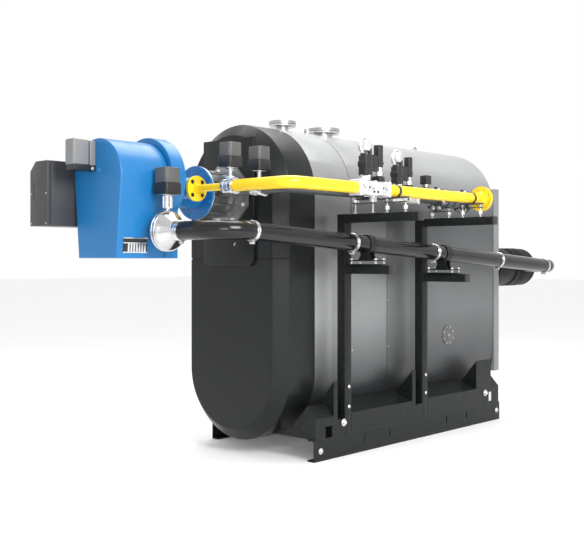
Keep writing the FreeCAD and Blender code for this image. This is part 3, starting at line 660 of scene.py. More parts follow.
def base():
    """Rails, saddles and gussets keep their shape; bolts and washers are added."""
    for node in ("right_rail", "left_rail", "floor_tie", "right_saddles", "right_gussets",
                 "left_saddles", "end_plates"):
        keep(node, FRAME_BLACK)
    first, last = BOX["right_rail"]
    face, level = first.y, last.z
    bolts = Shape()
    end_bolts = ((first.x + 0.064, 0.068), (last.x - 0.052, 0.080))
    gusset_bolts = ((-0.896, 0.232), (0.963, 0.245))
    post_levels = (0.335, 0.473)
    for x, z in end_bolts:
        bolts.bolt((x, face, z), RIGHT, 0.024, 0.010, 0.003)
    for x, z in gusset_bolts:
        bolts.disc((x, face, z), RIGHT, -0.001, 0.003, 0.023)
        bolts.bolt((x, face - 0.003, z), RIGHT, 0.030, 0.014, 0.003)
    low, high = BOX["frame_posts"]
    size = high.y - low.y
    for start in (low.x, high.x - size):
        for z in post_levels:
            bolts.bolt((start + size * 0.62, face, z), RIGHT, 0.014, 0.006, 0.0015)
    piece("base_bolts", bolts, ZINC)
    joint, front, into = -0.115, face - 0.0004, face + 0.004
    seams = Shape().block((joint - 0.0015, front, 0.001), (joint + 0.0015, into, level), 0)
    for start, end in ((low.x + size, joint), (high.x, last.x - 0.15)):
        seams.block((start, front, level - 0.002), (end, into, level + 0.001), 0)
    piece("base_seams", seams, SHADE_AND_JOINT_BLACK)
    tag = Shape().block((1.024, face - 0.0022, 0.170), (1.062, face, 0.246), 0.0006, 1)
    piece("base_tag", tag, ZINC)


def square_tube(shape, low, high, axis, corner=0.006):
    """A square section with rounded corners along one axis."""
    index = "XYZ".index(axis)
    others = [i for i in range(3) if i != index]
    u0, v0 = low[others[0]], low[others[1]]
    u1, v1 = high[others[0]], high[others[1]]
    outline = []
    for cu, cv, start in ((u1, v1, 0), (u0, v1, 90), (u0, v0, 180), (u1, v0, 270)):
        du = -corner if cu == u1 else corner
        dv = -corner if cv == v1 else corner
        for k in range(5):
            a = math.radians(start + 90 * k / 4)
            outline.append((cu + du + corner * math.cos(a), cv + dv + corner * math.sin(a)))
    shape.prism(outline, axis, low[index], high[index], 0.0)


def frames():
    """Posts, arms and brackets of square tube with end caps and weld beads."""
    low, high = BOX["frame_posts"]
    size = high.y - low.y
    starts = (low.x, high.x - size)
    posts, arms, brackets, caps, welds = Shape(), Shape(), Shape(), Shape(), Shape()
    arm = BOX["frame_arms"]
    bracket = BOX["pipe_brackets"]
    depth = arm[1].z - arm[0].z
    tops = (bracket[1].z, bracket[0].z + depth)
    cap = 0.004
    for start, top in zip(starts, tops):
        end = start + size
        square_tube(posts, (start, low.y, low.z), (end, high.y, high.z), "Z")
        square_tube(arms, (start, arm[0].y + cap, arm[0].z), (end, arm[1].y, arm[1].z), "Y")
        square_tube(brackets, (start, bracket[0].y + cap, top - depth), (end, bracket[1].y, top), "Y")
        for y, z in ((arm[0].y, arm[0].z), (bracket[0].y, top - depth)):
            caps.block((start + 0.001, y, z + 0.001), (end - 0.001, y + cap, z + depth - 0.001), 0.0015)
        for z0, z1 in ((arm[0].z, arm[1].z), (top - depth, top)):
            outline = [(start, z0), (end, z0), (end, z1), (start, z1)]
            for (xa, za), (xb, zb) in zip(outline, outline[1:] + outline[:1]):
                welds.tube([(xa, low.y - 0.001, za), (xb, low.y - 0.001, zb)], 0.003, 8)
    piece("frame_post_tubes", posts, FRAME_BLACK, ["frame_posts"])
    piece("frame_arm_tubes", arms, FRAME_BLACK, ["frame_arms"])
    piece("pipe_bracket_tubes", brackets, FRAME_BLACK, ["pipe_brackets"])
    piece("frame_caps", caps, BLACK_PLASTIC)
    piece("frame_welds", welds, FRAME_BLACK)
    return starts, size, tops


# ---------------------------------------------------------------- recirculation pipe

RECIRC_RADIUS = BOX["recirc_front_elbow"][1].z - MID["recirc_front_elbow"].z
RECIRC_Y = MID["recirc_pipe"].y
FRONT_END = Vector((BOX["recirc_front_elbow"][1].x, RECIRC_Y, MID["recirc_front_elbow"].z))
REAR_END = Vector((BOX["recirc_rear_elbow"][0].x, RECIRC_Y, MID["recirc_rear_elbow"].z))
FALL = (REAR_END - FRONT_END).normalized()


def on_pipe(x):
    """The recirculation pipe's centre line at a station."""
    return FRONT_END + (REAR_END - FRONT_END) * ((x - FRONT_END.x) / (REAR_END.x - FRONT_END.x))


def recirc_pipe():
    """One glossy line: front bend, sloping run and rear bend into the flue duct."""
    low, high = BOX["recirc_front_elbow"]
    bend = FRONT_END.x - (low.x + RECIRC_RADIUS)
    turn_end = FRONT_END + Vector((-bend, bend, 0))
    path = [Vector((turn_end.x, high.y, turn_end.z))]
    path += quarter(FRONT_END + LEFT * bend, turn_end, FRONT_END, 24)
    path += [FRONT_END + (REAR_END - FRONT_END) * k / 12 for k in range(1, 12)]
    low, high = BOX["recirc_rear_elbow"]
    bend = high.x - RECIRC_RADIUS - REAR_END.x
    far = REAR_END + Vector((bend, bend, 0))
    path += quarter(REAR_END + LEFT * bend, REAR_END, far, 20)
    path.append(Vector((far.x, high.y - 0.02, far.z)))
    shape = Shape().tube(path, RECIRC_RADIUS, 64)
    piece("recirc_line", shape, GLOSS_BLACK,
          ["recirc_pipe", "recirc_front_elbow", "recirc_rear_elbow"], sharp=50)
    seams = Shape()
    inner, outer = RECIRC_RADIUS - 0.002, RECIRC_RADIUS + 0.0016
    for spot, way in ((FRONT_END, FALL), (REAR_END, FALL), (turn_end, LEFT), (far, LEFT)):
        seams.ring(spot, way, -0.003, 0.003, inner, outer, 0.0015, 64)
    piece("recirc_weld_seams", seams, GLOSS_BLACK)
    return turn_end


def band(shape, spot, way):
    """A clamp band: grooved ring, with two lugs and their bolt below."""
    outer = RECIRC_RADIUS + 0.0065
    shape.ring(spot, way, -0.0125, 0.0125, RECIRC_RADIUS - 0.001, outer - 0.002, 0.003, 64)
    for edge in (-0.009, 0.009):
        shape.ring(spot, way, edge - 0.003, edge + 0.003, RECIRC_RADIUS, outer, 0.0015, 64)
    side = way.cross(DOWN).normalized()
    middle = spot + DOWN * (outer + 0.006)
    for sign in (-1, 1):
        shape.disc(middle + side * (0.008 * sign), side * sign, 0.0, 0.005, 0.011, 0.001, 24)
    shape.tube([middle - side * 0.020, middle + side * 0.020], 0.0035, 12)
    shape.lathe(middle + side * 0.014, side, [(0, 0.0062), (0.006, 0.0062)], 6)


def recirc_bands(turn_end):
    """Bright clamp bands along the pipe."""
    shape = Shape()
    stations = (FRONT_END.x + 0.040, -1.010, -0.050, 0.880, REAR_END.x - 0.030)
    for x in stations:
        band(shape, on_pipe(x), FALL)
    band(shape, Vector((turn_end.x, BOX["recirc_reducer"][0].y - 0.013, turn_end.z)), LEFT)
    piece("recirc_clamp_bands", shape, POLISHED, ["recirc_bands"], sharp=40)


def pipe_shoes(starts, size, tops):
    """Sliding shoes: two plates on four bolts, a narrow cradle and a split collar."""
    steel, bolts = Shape(), Shape()
    low, high = BOX["pipe_shoes"]
    y, half_x, half_y = RECIRC_Y, 0.060, (high.y - low.y) / 2

    def slab(centre, reach_x, reach_y, bottom, top, bevel):
        x, y = centre
        steel.block((x - reach_x, y - reach_y, bottom), (x + reach_x, y + reach_y, top), bevel)

    for start, top in zip(starts, tops):
        middle = start + size / 2
        spot = on_pipe(middle)
        crown, base = spot.z + RECIRC_RADIUS, top + 0.035
        slab((middle, y), half_x, half_y, top, top + 0.008, 0.0015)
        slab((middle, y), half_x - 0.004, half_y - 0.004, top + 0.028, top + 0.036, 0.0015)
        for x in (middle - 0.034, middle + 0.026):
            web = [
                (y - 0.058, base), (y + 0.058, base), (y + 0.034, base + 0.030),
                (y + 0.050, spot.z), (y - 0.050, spot.z), (y - 0.034, base + 0.030),
            ]
            steel.prism(web, "X", x, x + 0.008, 0.001, 1)
        slab((middle, y), 0.032, 0.010, base, spot.z - 0.040, 0.002)
        steel.ring(spot, FALL, -0.034, 0.034, RECIRC_RADIUS - 0.001, RECIRC_RADIUS + 0.0078, 0.002, 64)
        for side in (-1, 1):
            lug_y = y + side * 0.05725
            slab((middle, lug_y), 0.030, 0.00725, spot.z - 0.010, spot.z + 0.010, 0.002)
            for x in (middle - 0.018, middle + 0.018):
                bolts.disc((x, y + side * 0.0585, spot.z + 0.009), UP, 0, 0.006, 0.005, 0.001, 16)
        slab((middle, y), 0.026, 0.018, crown, crown + 0.0075, 0.003)
        for dx, dy in corners(half_x - 0.016, half_y - 0.016):
            spot = Vector((middle + dx, y + dy, top))
            bolts.tube([spot, spot + UP * 0.046], 0.0050, 12)
            bolts.bolt(spot + UP * 0.036, UP, 0.018, 0.008, 0.002)
            bolts.lathe(spot + UP * 0.009, UP, [(0, 0.0104), (0.009, 0.0104)], 6)
    piece("pipe_shoe_castings", steel, FRAME_BLACK, ["pipe_shoes"])
    piece("pipe_shoe_bolts", bolts, ZINC)


def geared_drive(name, centre, width, depth, bottom, top, replaces=()):
    """Actuator: dark lower case, grey cover with cut corners, screws and a gland."""
    split = bottom + (top - bottom) * 0.42
    front = centre.y - depth / 2

    def octagon(inset, cut):
        x, y = centre.x, centre.y
        half_x, half_y = width / 2 - inset, depth / 2 - inset
        return [
            (x - half_x, y - half_y + cut), (x - half_x + cut, y - half_y), (x + half_x - cut, y - half_y),
            (x + half_x, y - half_y + cut), (x + half_x, y + half_y - cut), (x + half_x - cut, y + half_y),
            (x - half_x + cut, y + half_y), (x - half_x, y + half_y - cut),
        ]

    case = Shape().prism(octagon(0, 0.008), "Z", bottom, split - 0.0015, 0.002, 2)
    for k in range(3):
        z = bottom + 0.014 + 0.014 * k
        case.block((centre.x - width * 0.34, front + 0.001, z),
                   (centre.x + width * 0.34, front + 0.004, z + 0.006), 0.001)
    case.prism(octagon(0.005, 0.012), "Z", split - 0.004, split + 0.004, 0, 1)
    case.lathe((centre.x + width * 0.22, front + 0.016, bottom + 0.020), RIGHT, [
        (0, 0.010), (0.006, 0.010), (0.006, 0.008), (0.015, 0.0072)], 12)
    piece(f"{name}_case", case, BLACK_PLASTIC, replaces)
    cover = Shape().prism(octagon(0.002, 0.014), "Z", split + 0.0015, top, 0.003, 3)
    piece(f"{name}_cover", cover, GREY_PLASTIC)
    screws = Shape()
    for dx, dy in corners(0.32 * width, 0.32 * depth):
        screws.bolt((centre.x + dx, centre.y + dy, top - 0.0052), UP, 0.007, 0.0035, 0.0008)
    piece(f"{name}_screws", screws, ZINC)


def damper():
    """Polished reducer, damper body with bolted rim, caged stem and drive."""
    low, high = BOX["recirc_reducer"]
    x, z = MID["recirc_reducer"].xz
    outer, length, front = high.z - z, high.y - low.y, high.y
    line = rounded([
        (0.0, RECIRC_RADIUS - 0.001), (length * 0.30, RECIRC_RADIUS + 0.001), (length * 0.74, outer * 0.78),
        (length * 0.93, outer - 0.010), (length, outer - 0.007),
    ], 0.03, 8)
    shape = Shape().lathe((x, low.y, z), LEFT, line, 96)
    piece("recirc_cone", shape, POLISHED, ["recirc_reducer"], sharp=60)

    drive = BOX["recirc_damper_drive"]
    centre, bottom = MID["recirc_damper_drive"], drive[0].z
    neck = BOX["recirc_damper"][1].y - front - 0.010
    body = Shape()
    for start, end, radius, edge, steps in (
        (0.001, 0.015, outer, 0.003, 96), (0.015, 0.026, outer * 0.93, 0.002, 96),
        (0.026, 0.039, outer, 0.003, 96), (0.039, neck, 0.070, 0.002, 64),
    ):
        body.disc((x, front, z), LEFT, start, end, radius, edge, steps)
    foot = z + outer * 0.9
    body.lathe((x, centre.y, foot), UP, [(0, 0.016), (bottom - foot, 0.016)], 32)
    body.disc((x, centre.y, bottom - 0.088), UP, 0, 0.007, 0.036, 0.002)
    for dx, dy in around(6, 0.026):
        spot = Vector((x + dx, centre.y + dy, bottom - 0.083))
        body.tube([spot, spot + UP * 0.072], 0.0055, 14)
    body.disc((x, centre.y, bottom - 0.012), UP, 0, 0.005, 0.032, 0.0015)
    body.block((x - 0.055, centre.y - 0.032, bottom - 0.007), (x + 0.055, centre.y + 0.032, bottom), 0.002)
    piece("recirc_damper_body", body, POLISHED, ["recirc_damper"], sharp=45)
    bolts = Shape()
    for dx, dz in around(12, outer * 0.90):
        spot = Vector((x + dx, front + 0.0008, z + dz))
        bolts.bolt(spot + LEFT * 0.038, LEFT, 0.010, 0.005, 0.001)
        bolts.disc(spot, RIGHT, -0.001, 0.003, 0.0045, 0.0005, 16)
    piece("recirc_damper_bolts", bolts, ZINC)
    size = drive[1] - drive[0]
    geared_drive("recirc_drive", centre, size.x, size.y, bottom, drive[1].z, ["recirc_damper_drive"])


# ---------------------------------------------------------------- gas lines

def pipe_bend(name, bend_node, valve_node, material):
    """A line from its straight run round the bend to its throttle valve."""
    low, high = BOX[bend_node]
    radius = (high.z - low.z) / 2
    x, y, z = low.x + radius, low.y + radius, MID[bend_node].z
    turn = high.x - x
    centre = Vector((x + turn, y + turn, z))
    path = [Vector((BOX[valve_node][0].x + 0.004, y, z))]
    path += quarter(centre, centre + RIGHT * turn, centre + FRONT * turn, 20)
    path.append(Vector((x, high.y + 0.004, z)))
    piece(name, Shape().tube(path, radius, 56), material, [bend_node], sharp=50)
    return y, z, radius


def gas_pipes():
    """Yellow outer line; grey inner line with its bolted, ribbed strainer."""
    valve, flange = BOX["outer_gas_valve"], BOX["outer_gas_flange"]
    y, z, radius = pipe_bend(
        "outer_gas_front_run", "outer_gas_bend", "outer_gas_valve", YELLOW)
    back = Shape().tube([(valve[1].x - 0.004, y, z), (flange[0].x, y, z)], radius, 56)
    piece("outer_gas_rear_run", back, YELLOW, ["outer_gas_pipe"], sharp=50)
    keep("outer_gas_flange", YELLOW)
    hub = Shape().lathe((flange[0].x + 0.001, y, z), FRONT, [
        (0, radius + 0.018), (0.006, radius + 0.014), (0.030, radius + 0.002), (0.033, radius - 0.001)], 72)
    hub.lathe((flange[1].x - 0.002, y, z), FRONT, [(0, 0.058), (0.001, 0.058)], 72)
    piece("outer_gas_flange_hub", hub, YELLOW)

    valve, (start, end) = BOX["inner_gas_valve"], BOX["inner_gas_strainer"]
    y, z, radius = pipe_bend(
        "inner_gas_front_run", "inner_gas_bend", "inner_gas_valve", PIPE_GREY)
    middle = Shape().tube([(valve[1].x - 0.004, y, z), (start.x + 0.004, y, z)], radius, 56)
    piece("inner_gas_rear_run", middle, PIPE_GREY, ["inner_gas_pipe"], sharp=50)
    keep("inner_gas_strainer", PIPE_GREY)
    bolts, plate = Shape(), 0.020
    for x, way in ((start.x, FRONT), (start.x + plate, BACK), (end.x - plate, FRONT)):
        bolts.bolt_circle((x, y, z), way, 0.145, 8, across=0.024, head=0.010, washer=0.002)
    piece("strainer_bolts", bolts, ZINC)
    ribs = Shape()
    for along in (0.10, 0.19, 0.28):
        ribs.ring((start.x + along, y, z), BACK, -0.005, 0.005, 0.056, 0.063, 0.002, 64)
    ribs.disc((start.x + 0.19, y, z + 0.050), UP, 0, 0.026, 0.034, 0.003)
    piece("strainer_ribs", ribs, PIPE_GREY)


def valve_block(name, node):
    """Cast double-valve body with bolted end flanges, side covers, marks and plugs."""
    low, high = BOX[node]
    x, y, z = MID[node]
    half, end = (high.z - low.z) / 2, 0.026
    inner = half - 0.006
    body = Shape()
    for start, stop, reach, bevel, rounds in (
        (low.x + end - 0.002, high.x - end + 0.002, inner, 0.006, 3), (low.x, low.x + end, half, 0.008, 3),
        (high.x - end, high.x, half, 0.008, 3), (x - 0.006, x + 0.006, half - 0.001, 0.002, 2),
    ):
        body.block((start, y - reach, z - reach), (stop, y + reach, z + reach), bevel, rounds)
    bolts, plugs = Shape(), Shape()
    for side in (-1, 1):
        face, way = y + side * inner, LEFT * side
        for place, tilt, reach in ((-0.112, 38, 0.030), (-0.020, -20, 0.016), (0.116, 60, 0.014)):
            mark = Matrix.Translation((x + place, face, z)) @ Matrix.Rotation(math.radians(tilt), 4, "Y")
            plugs.block((-reach, -0.0012, -0.0022), (reach, 0.0012, 0.0022), 0.0005, 1, matrix=mark)
        for centre in (x - 0.072, x + 0.072):
            spot = Vector((centre, face, z + 0.004))
            body.disc(spot - way * 0.002, way, 0, 0.007, 0.034, 0.002)
            body.disc(spot - way * 0.002, way, 0.004, 0.0077, 0.018, 0.001)
            for dx, dz in around(4, 0.027):
                bolts.disc(spot + Vector((dx, side * 0.0045, dz)), way, 0, 0.0035, 0.0042, 0.0006, 16)
            plugs.lathe(spot + way * 0.0055, way, [(0, 0.008), (0.0004, 0.008)], 6)
        for dx in (-0.020, 0.020):
            plugs.disc((x + dx, face, z - 0.022), way, -0.001, 0.004, 0.008, 0.001, 24)
    piece(f"{name}_body", body, ALLOY, [node])
    for inside, way in ((low.x + end, BACK), (high.x - end, FRONT)):
        for dy, dz in corners(half - 0.013, half - 0.013):
            bolts.bolt((inside, y + dy, z + dz), way, 0.015, 0.008, 0.0015)
    piece(f"{name}_bolts", bolts, ZINC)
    piece(f"{name}_plugs", plugs, BLACK_PLASTIC)


def valve_heads(name, node, replaces=()):
    """The block's two actuators: one with a bright domed regulator, one plain tall coil."""
    low, high = BOX[node]
    y, top = MID[node].y, high.z
    coil_top = min(BOX["gas_valve_actuators"][1].z, top + 0.236)
    first, second = Vector((low.x + 0.105, y, top)), Vector((low.x + 0.245, y, top))
    black, bright = Shape(), Shape()
    for at, start, end, bevel, rounds in (
        (first, (-0.030, -0.032, 0.030), (0.040, 0.032, 0.158), 0.006, 3),
        (first, (-0.034, -0.036, 0.085), (0.036, 0.036, 0.122), 0.005, 3),
        (first, (0.020, -0.026, 0.018), (0.040, 0.036, 0.205), 0.004, 3),
        (first, (0.034, -0.018, 0.064), (0.128, 0.022, 0.168), 0.005, 3),
        (second, (-0.036, -0.034, -0.001), (0.024, 0.034, 0.034), 0.005, 3),
        (second, (-0.0235, -0.0235, 0.090), (0.0235, 0.0235, coil_top - top), 0.007, 5),
    ):
        black.block(at + Vector(start), at + Vector(end), bevel, rounds)
    for shape, at, start, way, length, radius, edge in (
        (bright, first, (-0.006, 0, -0.001), UP, 0.018, 0.037, 0.003),
        (bright, first, (-0.004, -0.006, 0.016), (-0.25, -0.25, 0.93), 0.022, 0.034, 0.006),
        (black, first, (0.004, 0, 0.150), UP, 0.022, 0.034, 0.003),
        (bright, second, (0, 0, 0.030), UP, 0.034, 0.0265, 0.003),
        (bright, second, (0, 0, 0.062), UP, 0.030, 0.022, 0.003),
        (black, second, (0.014, -0.010, 0.118), BACK, 0.016, 0.013, 0.003),
        (bright, first, (0, 0.004, 0.220), LEFT, 0.026, 0.040, 0.006),
    ):
        shape.disc(at + Vector(start), way, 0, length, radius, edge)
    bright.lathe(first + Vector((0, 0.004, 0.220)), RIGHT, [
        (0.0, 0.052), (0.002, 0.058), (0.008, 0.0605), (0.012, 0.059), (0.013, 0.048), (0.010, 0.044),
        (0.012, 0.041), (0.026, 0.037), (0.037, 0.027), (0.043, 0.015), (0.045, 0.004)], 64)
    for k in range(4):
        z = top + 0.040 + 0.011 * k
        black.block((first.x - 0.032, y - 0.024, z), (first.x - 0.029, y + 0.024, z + 0.005), 0.001, 1)
    for side in (-1, 1):
        fin = y + side * 0.0232
        for k in range(6):
            z = top + 0.104 + 0.019 * k
            black.block((second.x - 0.014, fin - 0.0012, z), (second.x + 0.014, fin + 0.0012, z + 0.009),
                        0.0006, 1)
    piece(f"{name}_heads", black, BLACK_PLASTIC, replaces)
    piece(f"{name}_regulators", bright, ALLOY, sharp=40)
    screws = Shape()
    for dx, dy in corners(0.026, 0.027):
        screws.disc(second + Vector((dx, dy, 0.033)), UP, 0, 0.0018, 0.004, 0.0005, 16)
    piece(f"{name}_head_screws", screws, ZINC)


def throttles():
    """Wafer butterfly valves between bright rings, with stems and drives."""
    low, high = BOX["gas_throttles"]
    drive_low, drive_high = BOX["gas_throttle_drives"]
    radius, size = 0.052, 0.112
    level, foot, top = low.z + radius, drive_low.z, drive_high.z
    outer_y, inner_y = drive_low.y + size / 2, drive_high.y - size / 2
    for name, x, y, body_nodes, drive_nodes in (
        ("outer_throttle", low.x + radius, outer_y, ["gas_throttles"], ["gas_throttle_drives"]),
        ("inner_throttle", high.x - radius, inner_y, [], []),
    ):
        start = y - 0.050
        rings, body = Shape(), Shape()
        rings.disc((x, start, level), LEFT, 0.000, 0.026, radius, 0.003, 64)
        rings.disc((x, start, level), LEFT, 0.078, 0.100, radius * 0.86, 0.003, 64)
        body.disc((x, start, level), LEFT, 0.024, 0.080, radius * 0.82, 0.003, 64)
        body.block((x - 0.018, start + 0.030, level), (x + 0.018, start + 0.070, level + 0.062), 0.003)
        rings.lathe((x, y, level + 0.055), UP, [(0, 0.013), (foot - level - 0.056, 0.013)], 28)
        rings.disc((x, y, foot - 0.010), UP, 0, 0.005, 0.034, 0.001)
        rings.block((x - 0.040, y - 0.026, foot - 0.006), (x + 0.040, y + 0.026, foot), 0.002)
        for dx, dz in around(4, 0.0445):
            spot = Vector((x + dx, start, level + dz))
            rings.tube([spot, spot + LEFT * 0.100], 0.0040, 12)
        piece(f"{name}_rings", rings, POLISHED, body_nodes)
        piece(f"{name}_body", body, ALLOY)
        geared_drive(name, Vector((x, y, 0)), size, size, foot, top, drive_nodes)


def burner_inlets():
    """Thin inlet pipe and its small flange on the burner neck; inner line into the head."""
    low, high = BOX["burner_gas_inlet"]
    x, z = MID["burner_gas_inlet"].xz
    outer, plate = (high.z - low.z) / 2, 0.018
    shape = Shape().tube([(x, low.y - 0.004, z), (x, high.y - plate, z)], 0.02415, 48)
    shape.lathe((x, high.y, z), RIGHT, [
        (0, outer - 0.001), (0.001, outer), (plate - 0.001, outer), (plate, outer - 0.001),
        (plate, 0.034), (plate + 0.012, 0.030), (plate + 0.022, 0.0245)], 64)
    piece("burner_gas_pipe", shape, YELLOW, ["burner_gas_inlet"])
    bolts = Shape()
    bolts.bolt_circle((x, high.y - plate, z), RIGHT, 0.118, 4, across=0.016, head=0.006, washer=0.0012)
    piece("burner_gas_bolts", bolts, BLACK_PLASTIC)
    keep("head_gas_inlet", PIPE_GREY)


def pipe_supports(starts, size):
    """Threaded rods, nuts, sleeves, seat bars and clamp straps on both arms."""
    arm_top = BOX["frame_arms"][1].z
    outer, inner = MID["outer_gas_pipe"], MID["inner_gas_pipe"]
    level = outer.z
    pipe, strainer = BOX["outer_gas_pipe"][1].z - level, 0.058
    rods, sleeves, bars, straps = Shape(), Shape(), Shape(), Shape()
    slim, wide = (0.0168, 0.018, 0.028), (0.0268, 0.076, 0.042)
    pitch = 0.004
    for start, y, radius, (sleeve, lift, tall) in (
        (starts[0], outer.y, pipe, slim), (starts[1], outer.y, pipe, slim),
        (starts[0], inner.y, pipe, wide), (starts[1], inner.y, strainer, slim),
    ):
        x, seat = start + size / 2, level - radius
        bars.block((x - 0.020, y - 0.095, seat - 0.010), (x + 0.020, y + 0.095, seat), 0.0015)
        bars.block((x - 0.017, y - 0.092, seat - 0.036), (x + 0.017, y + 0.092, seat - 0.030), 0.0015)
        for side in (-0.075, 0.075):
            spot = Vector((x, y + side, arm_top))
            length = seat - arm_top
            rods.lathe(spot, UP, [(0, 0.0055), (length, 0.0055)], 20)
            for k in range(int((length - 0.020) / pitch)):
                rods.disc(spot + UP * (0.006 + k * pitch), UP, 0, 0.0022, 0.0059, 0.0006, 16)
            for rise in (0.001, length - 0.020):
                nut = [(0, 0.0115), (0.001, 0.012), (0.008, 0.012), (0.009, 0.011)]
                rods.lathe(spot + UP * rise, UP, nut, 6)
            rods.disc(spot, UP, 0, 0.002, 0.016, 0.0005, 24)
            sleeves.disc(spot, UP, lift, lift + tall, sleeve, 0.002, 40)
        straps.ring((x, y, level), BACK, -0.012, 0.012, radius - 0.0005, radius + 0.003, 0.001, 64)
    piece("support_rods", rods, ZINC, ["gas_pipe_supports"])
    piece("support_sleeves", sleeves, ALLOY)
    piece("support_bars", bars, PIPE_GREY)
    piece("pipe_straps", straps, BLACK_PLASTIC)


def pressure_switch():
    """Pressure switch: black head, bright cup and a thin stalk."""
    low, high = BOX["gas_pressure_switch"]
    x, y = MID["gas_pressure_switch"].xy
    split = high.z - 0.070
    stalk = split - low.z
    black = Shape()
    black.block((low.x, low.y + 0.004, split), (high.x - 0.006, high.y - 0.004, high.z - 0.004), 0.006, 3)
    black.disc((x - 0.010, y, high.z - 0.006), UP, 0, 0.005, 0.018, 0.002)
    cup = Shape().lathe((x, y, low.z), UP, [
        (0, 0.016), (0.016, 0.016), (0.016, 0.009), (stalk - 0.026, 0.009), (stalk - 0.020, 0.024),
        (stalk, 0.031)], 40)
    cup.disc((high.x - 0.010, y, (split + high.z) / 2), BACK, 0, 0.0095, 0.026, 0.003)
    piece("pressure_switch_head", black, BLACK_PLASTIC, ["gas_pressure_switch"])
    piece("pressure_switch_cup", cup, POLISHED)


# ---------------------------------------------------------------- burner

BURNER_FOOT = 0.192


def burner_ring(x, radius, level, tuck, bottom, first=0.0, steps=36):
    """The burner's section: a half-round top on sides that lean in."""
    curve = arc(x, radius, level, first, math.pi - 2 * first, steps)
    foot = Vector((x, BURNER_FOOT - tuck, bottom + tuck))
    return [foot, *curve, Vector((x, -foot.y, foot.z))]


def burner():
    """Blower housing with eased front edge, rear band, side louvre of near-white bars as painted light over
    a panel of painted shade, and screws.
    """
    low, high = BOX["burner_housing"]
    half = high.y
    level = high.z - half
    line = rounded([(low.x, 0.05), (low.x, 0.0), (high.x - 0.003, 0.0), (high.x - 0.003, 0.02)], 0.010, 6)
    shape = Shape().loft([burner_ring(x, half - inset, level, inset, low.z) for x, inset in line])
    piece("burner_shell", shape, BLUE, ["burner_housing"], sharp=40)

    start, end = BOX["burner_rear_band"]
    outer = end.y
    rings = []
    for x, inset in rounded([(start.x, 0.03), (start.x, 0.0), (end.x, 0.0), (end.x, 0.03)], 0.008, 5):
        radius = outer - inset
        first = -math.acos(min(1.0, BURNER_FOOT / radius))
        rings.append(burner_ring(x, radius, level, inset * 0.5, start.z, first, 48))
    piece("burner_band", Shape().loft(rings), BLUE, ["burner_rear_band"], sharp=40)

    louvre_shade_panel, louvre_lit_slats = Shape(), Shape()
    left, right, bottom, top = -2.447, -2.264, 1.392, 1.484
    lean = (half - BURNER_FOOT) / (level - low.z)

    def leaning_panel(target, x0, x1, z0, z1, out, into):
        points = []
        for x in (x0, x1):
            for z in (z0, z1):
                side = -(BURNER_FOOT + (z - low.z) * lean)
                points += [(x, side - out, z), (x, side + into, z)]
        target.add(points, [
            [0, 2, 3, 1], [4, 5, 7, 6], [0, 1, 5, 4], [2, 6, 7, 3], [0, 4, 6, 2], [1, 3, 7, 5]])

    # Painted shade: a near-black panel stands for the dark inside of the louvre.
    leaning_panel(louvre_shade_panel, left, right, bottom, top, 0.0012, 0.004)
    # Painted light: near-white bars stand for the bright reflection in the louvre.
    rail, count = 0.006, 7
    middle = bottom + (top - bottom) * 0.62
    for z in (bottom, middle, top - rail):
        leaning_panel(louvre_lit_slats, left, right, z, z + rail, 0.004, 0.001)
    for k in range(count):
        x = left + 0.036 + (right - left - 0.040) * k / count
        leaning_panel(louvre_lit_slats, x, x + 0.013, bottom, middle, 0.0035, 0.001)
    piece("burner_louvre_painted_shade", louvre_shade_panel, SHADE_AND_JOINT_BLACK)
    piece("burner_louvre_painted_light", louvre_lit_slats, WHITE_METAL_AND_HIGHLIGHT)

    screws = Shape()
    for degrees in (25, 60, 90, 120, 155):
        a = math.radians(degrees)
        way = Vector((0, math.cos(a), math.sin(a)))
        spot = Vector((end.x - 0.020, 0, level)) + way * (outer - 0.001)
        screws.disc(spot, way, 0, 0.001, 0.005, 0.0003, 20)
    piece("burner_screws", screws, BLUE)


def burner_neck():
    """Neck and swivel disc, with a painted highlight as a near-white ring on the disc's edge, and bolts."""
    keep("burner_neck", BLUE)
    high = BOX["burner_neck"][1]
    level = high.z - 0.180
    # Painted highlight: a near-white metal ring on the blue disc's edge.
    rim = Shape().ring((high.x - 0.007, 0, level), BACK, 0, 0.007, 0.1770, 0.1803, 0.0008, 96)
    piece("burner_disc_rim_highlight", rim, WHITE_METAL_AND_HIGHLIGHT)
    bolts = Shape()
    bolts.bolt_circle((high.x - 0.020, 0, level), FRONT, 0.325, 8, across=0.016, head=0.006, washer=0.001)
    piece("burner_disc_bolts", bolts, BLUE)


def head_duct():
    """Cast head duct with collars and ribs, and the square flange's bolts."""
    low, high = BOX["burner_head_duct"]
    level = MID["burner_head_duct"].z
    radius, length = high.z - level, high.x - low.x
    line = rounded([
        (0.0, radius - 0.004), (0.0, radius), (0.022, radius), (0.030, radius - 0.010),
        (length * 0.60, radius - 0.010), (length * 0.72, radius - 0.002), (length, radius),
    ], 0.006, 4)
    shape = Shape().lathe((low.x, 0, level), BACK, [(p.x, p.y) for p in line], 96)
    for k in range(12):
        turn = Matrix.Translation((low.x, 0, level)) @ Matrix.Rotation(2 * math.pi * k / 12, 4, "X")
        rib_end = (length * 0.75, 0.004, radius - 0.001)
        shape.block((0.030, -0.004, radius - 0.014), rib_end, 0.002, 1, matrix=turn)
    boss = Vector((0, -0.30, 0.95))
    shape.disc((low.x + 0.105, 0, level), boss, radius - 0.020, radius - 0.001, 0.026, 0.003, 32)
    piece("head_duct_casting", shape, CAST_GREY, ["burner_head_duct"])
    keep("burner_plate", CAST_GREY)
    low, high = BOX["burner_plate"]
    bolts = Shape()
    for dy, dz in around(8, (high.y - low.y) / 2 * 0.89):
        bolts.bolt((low.x, dy, level + dz), FRONT, 0.019, 0.010, 0.002)
    piece("burner_plate_bolts", bolts, ZINC)


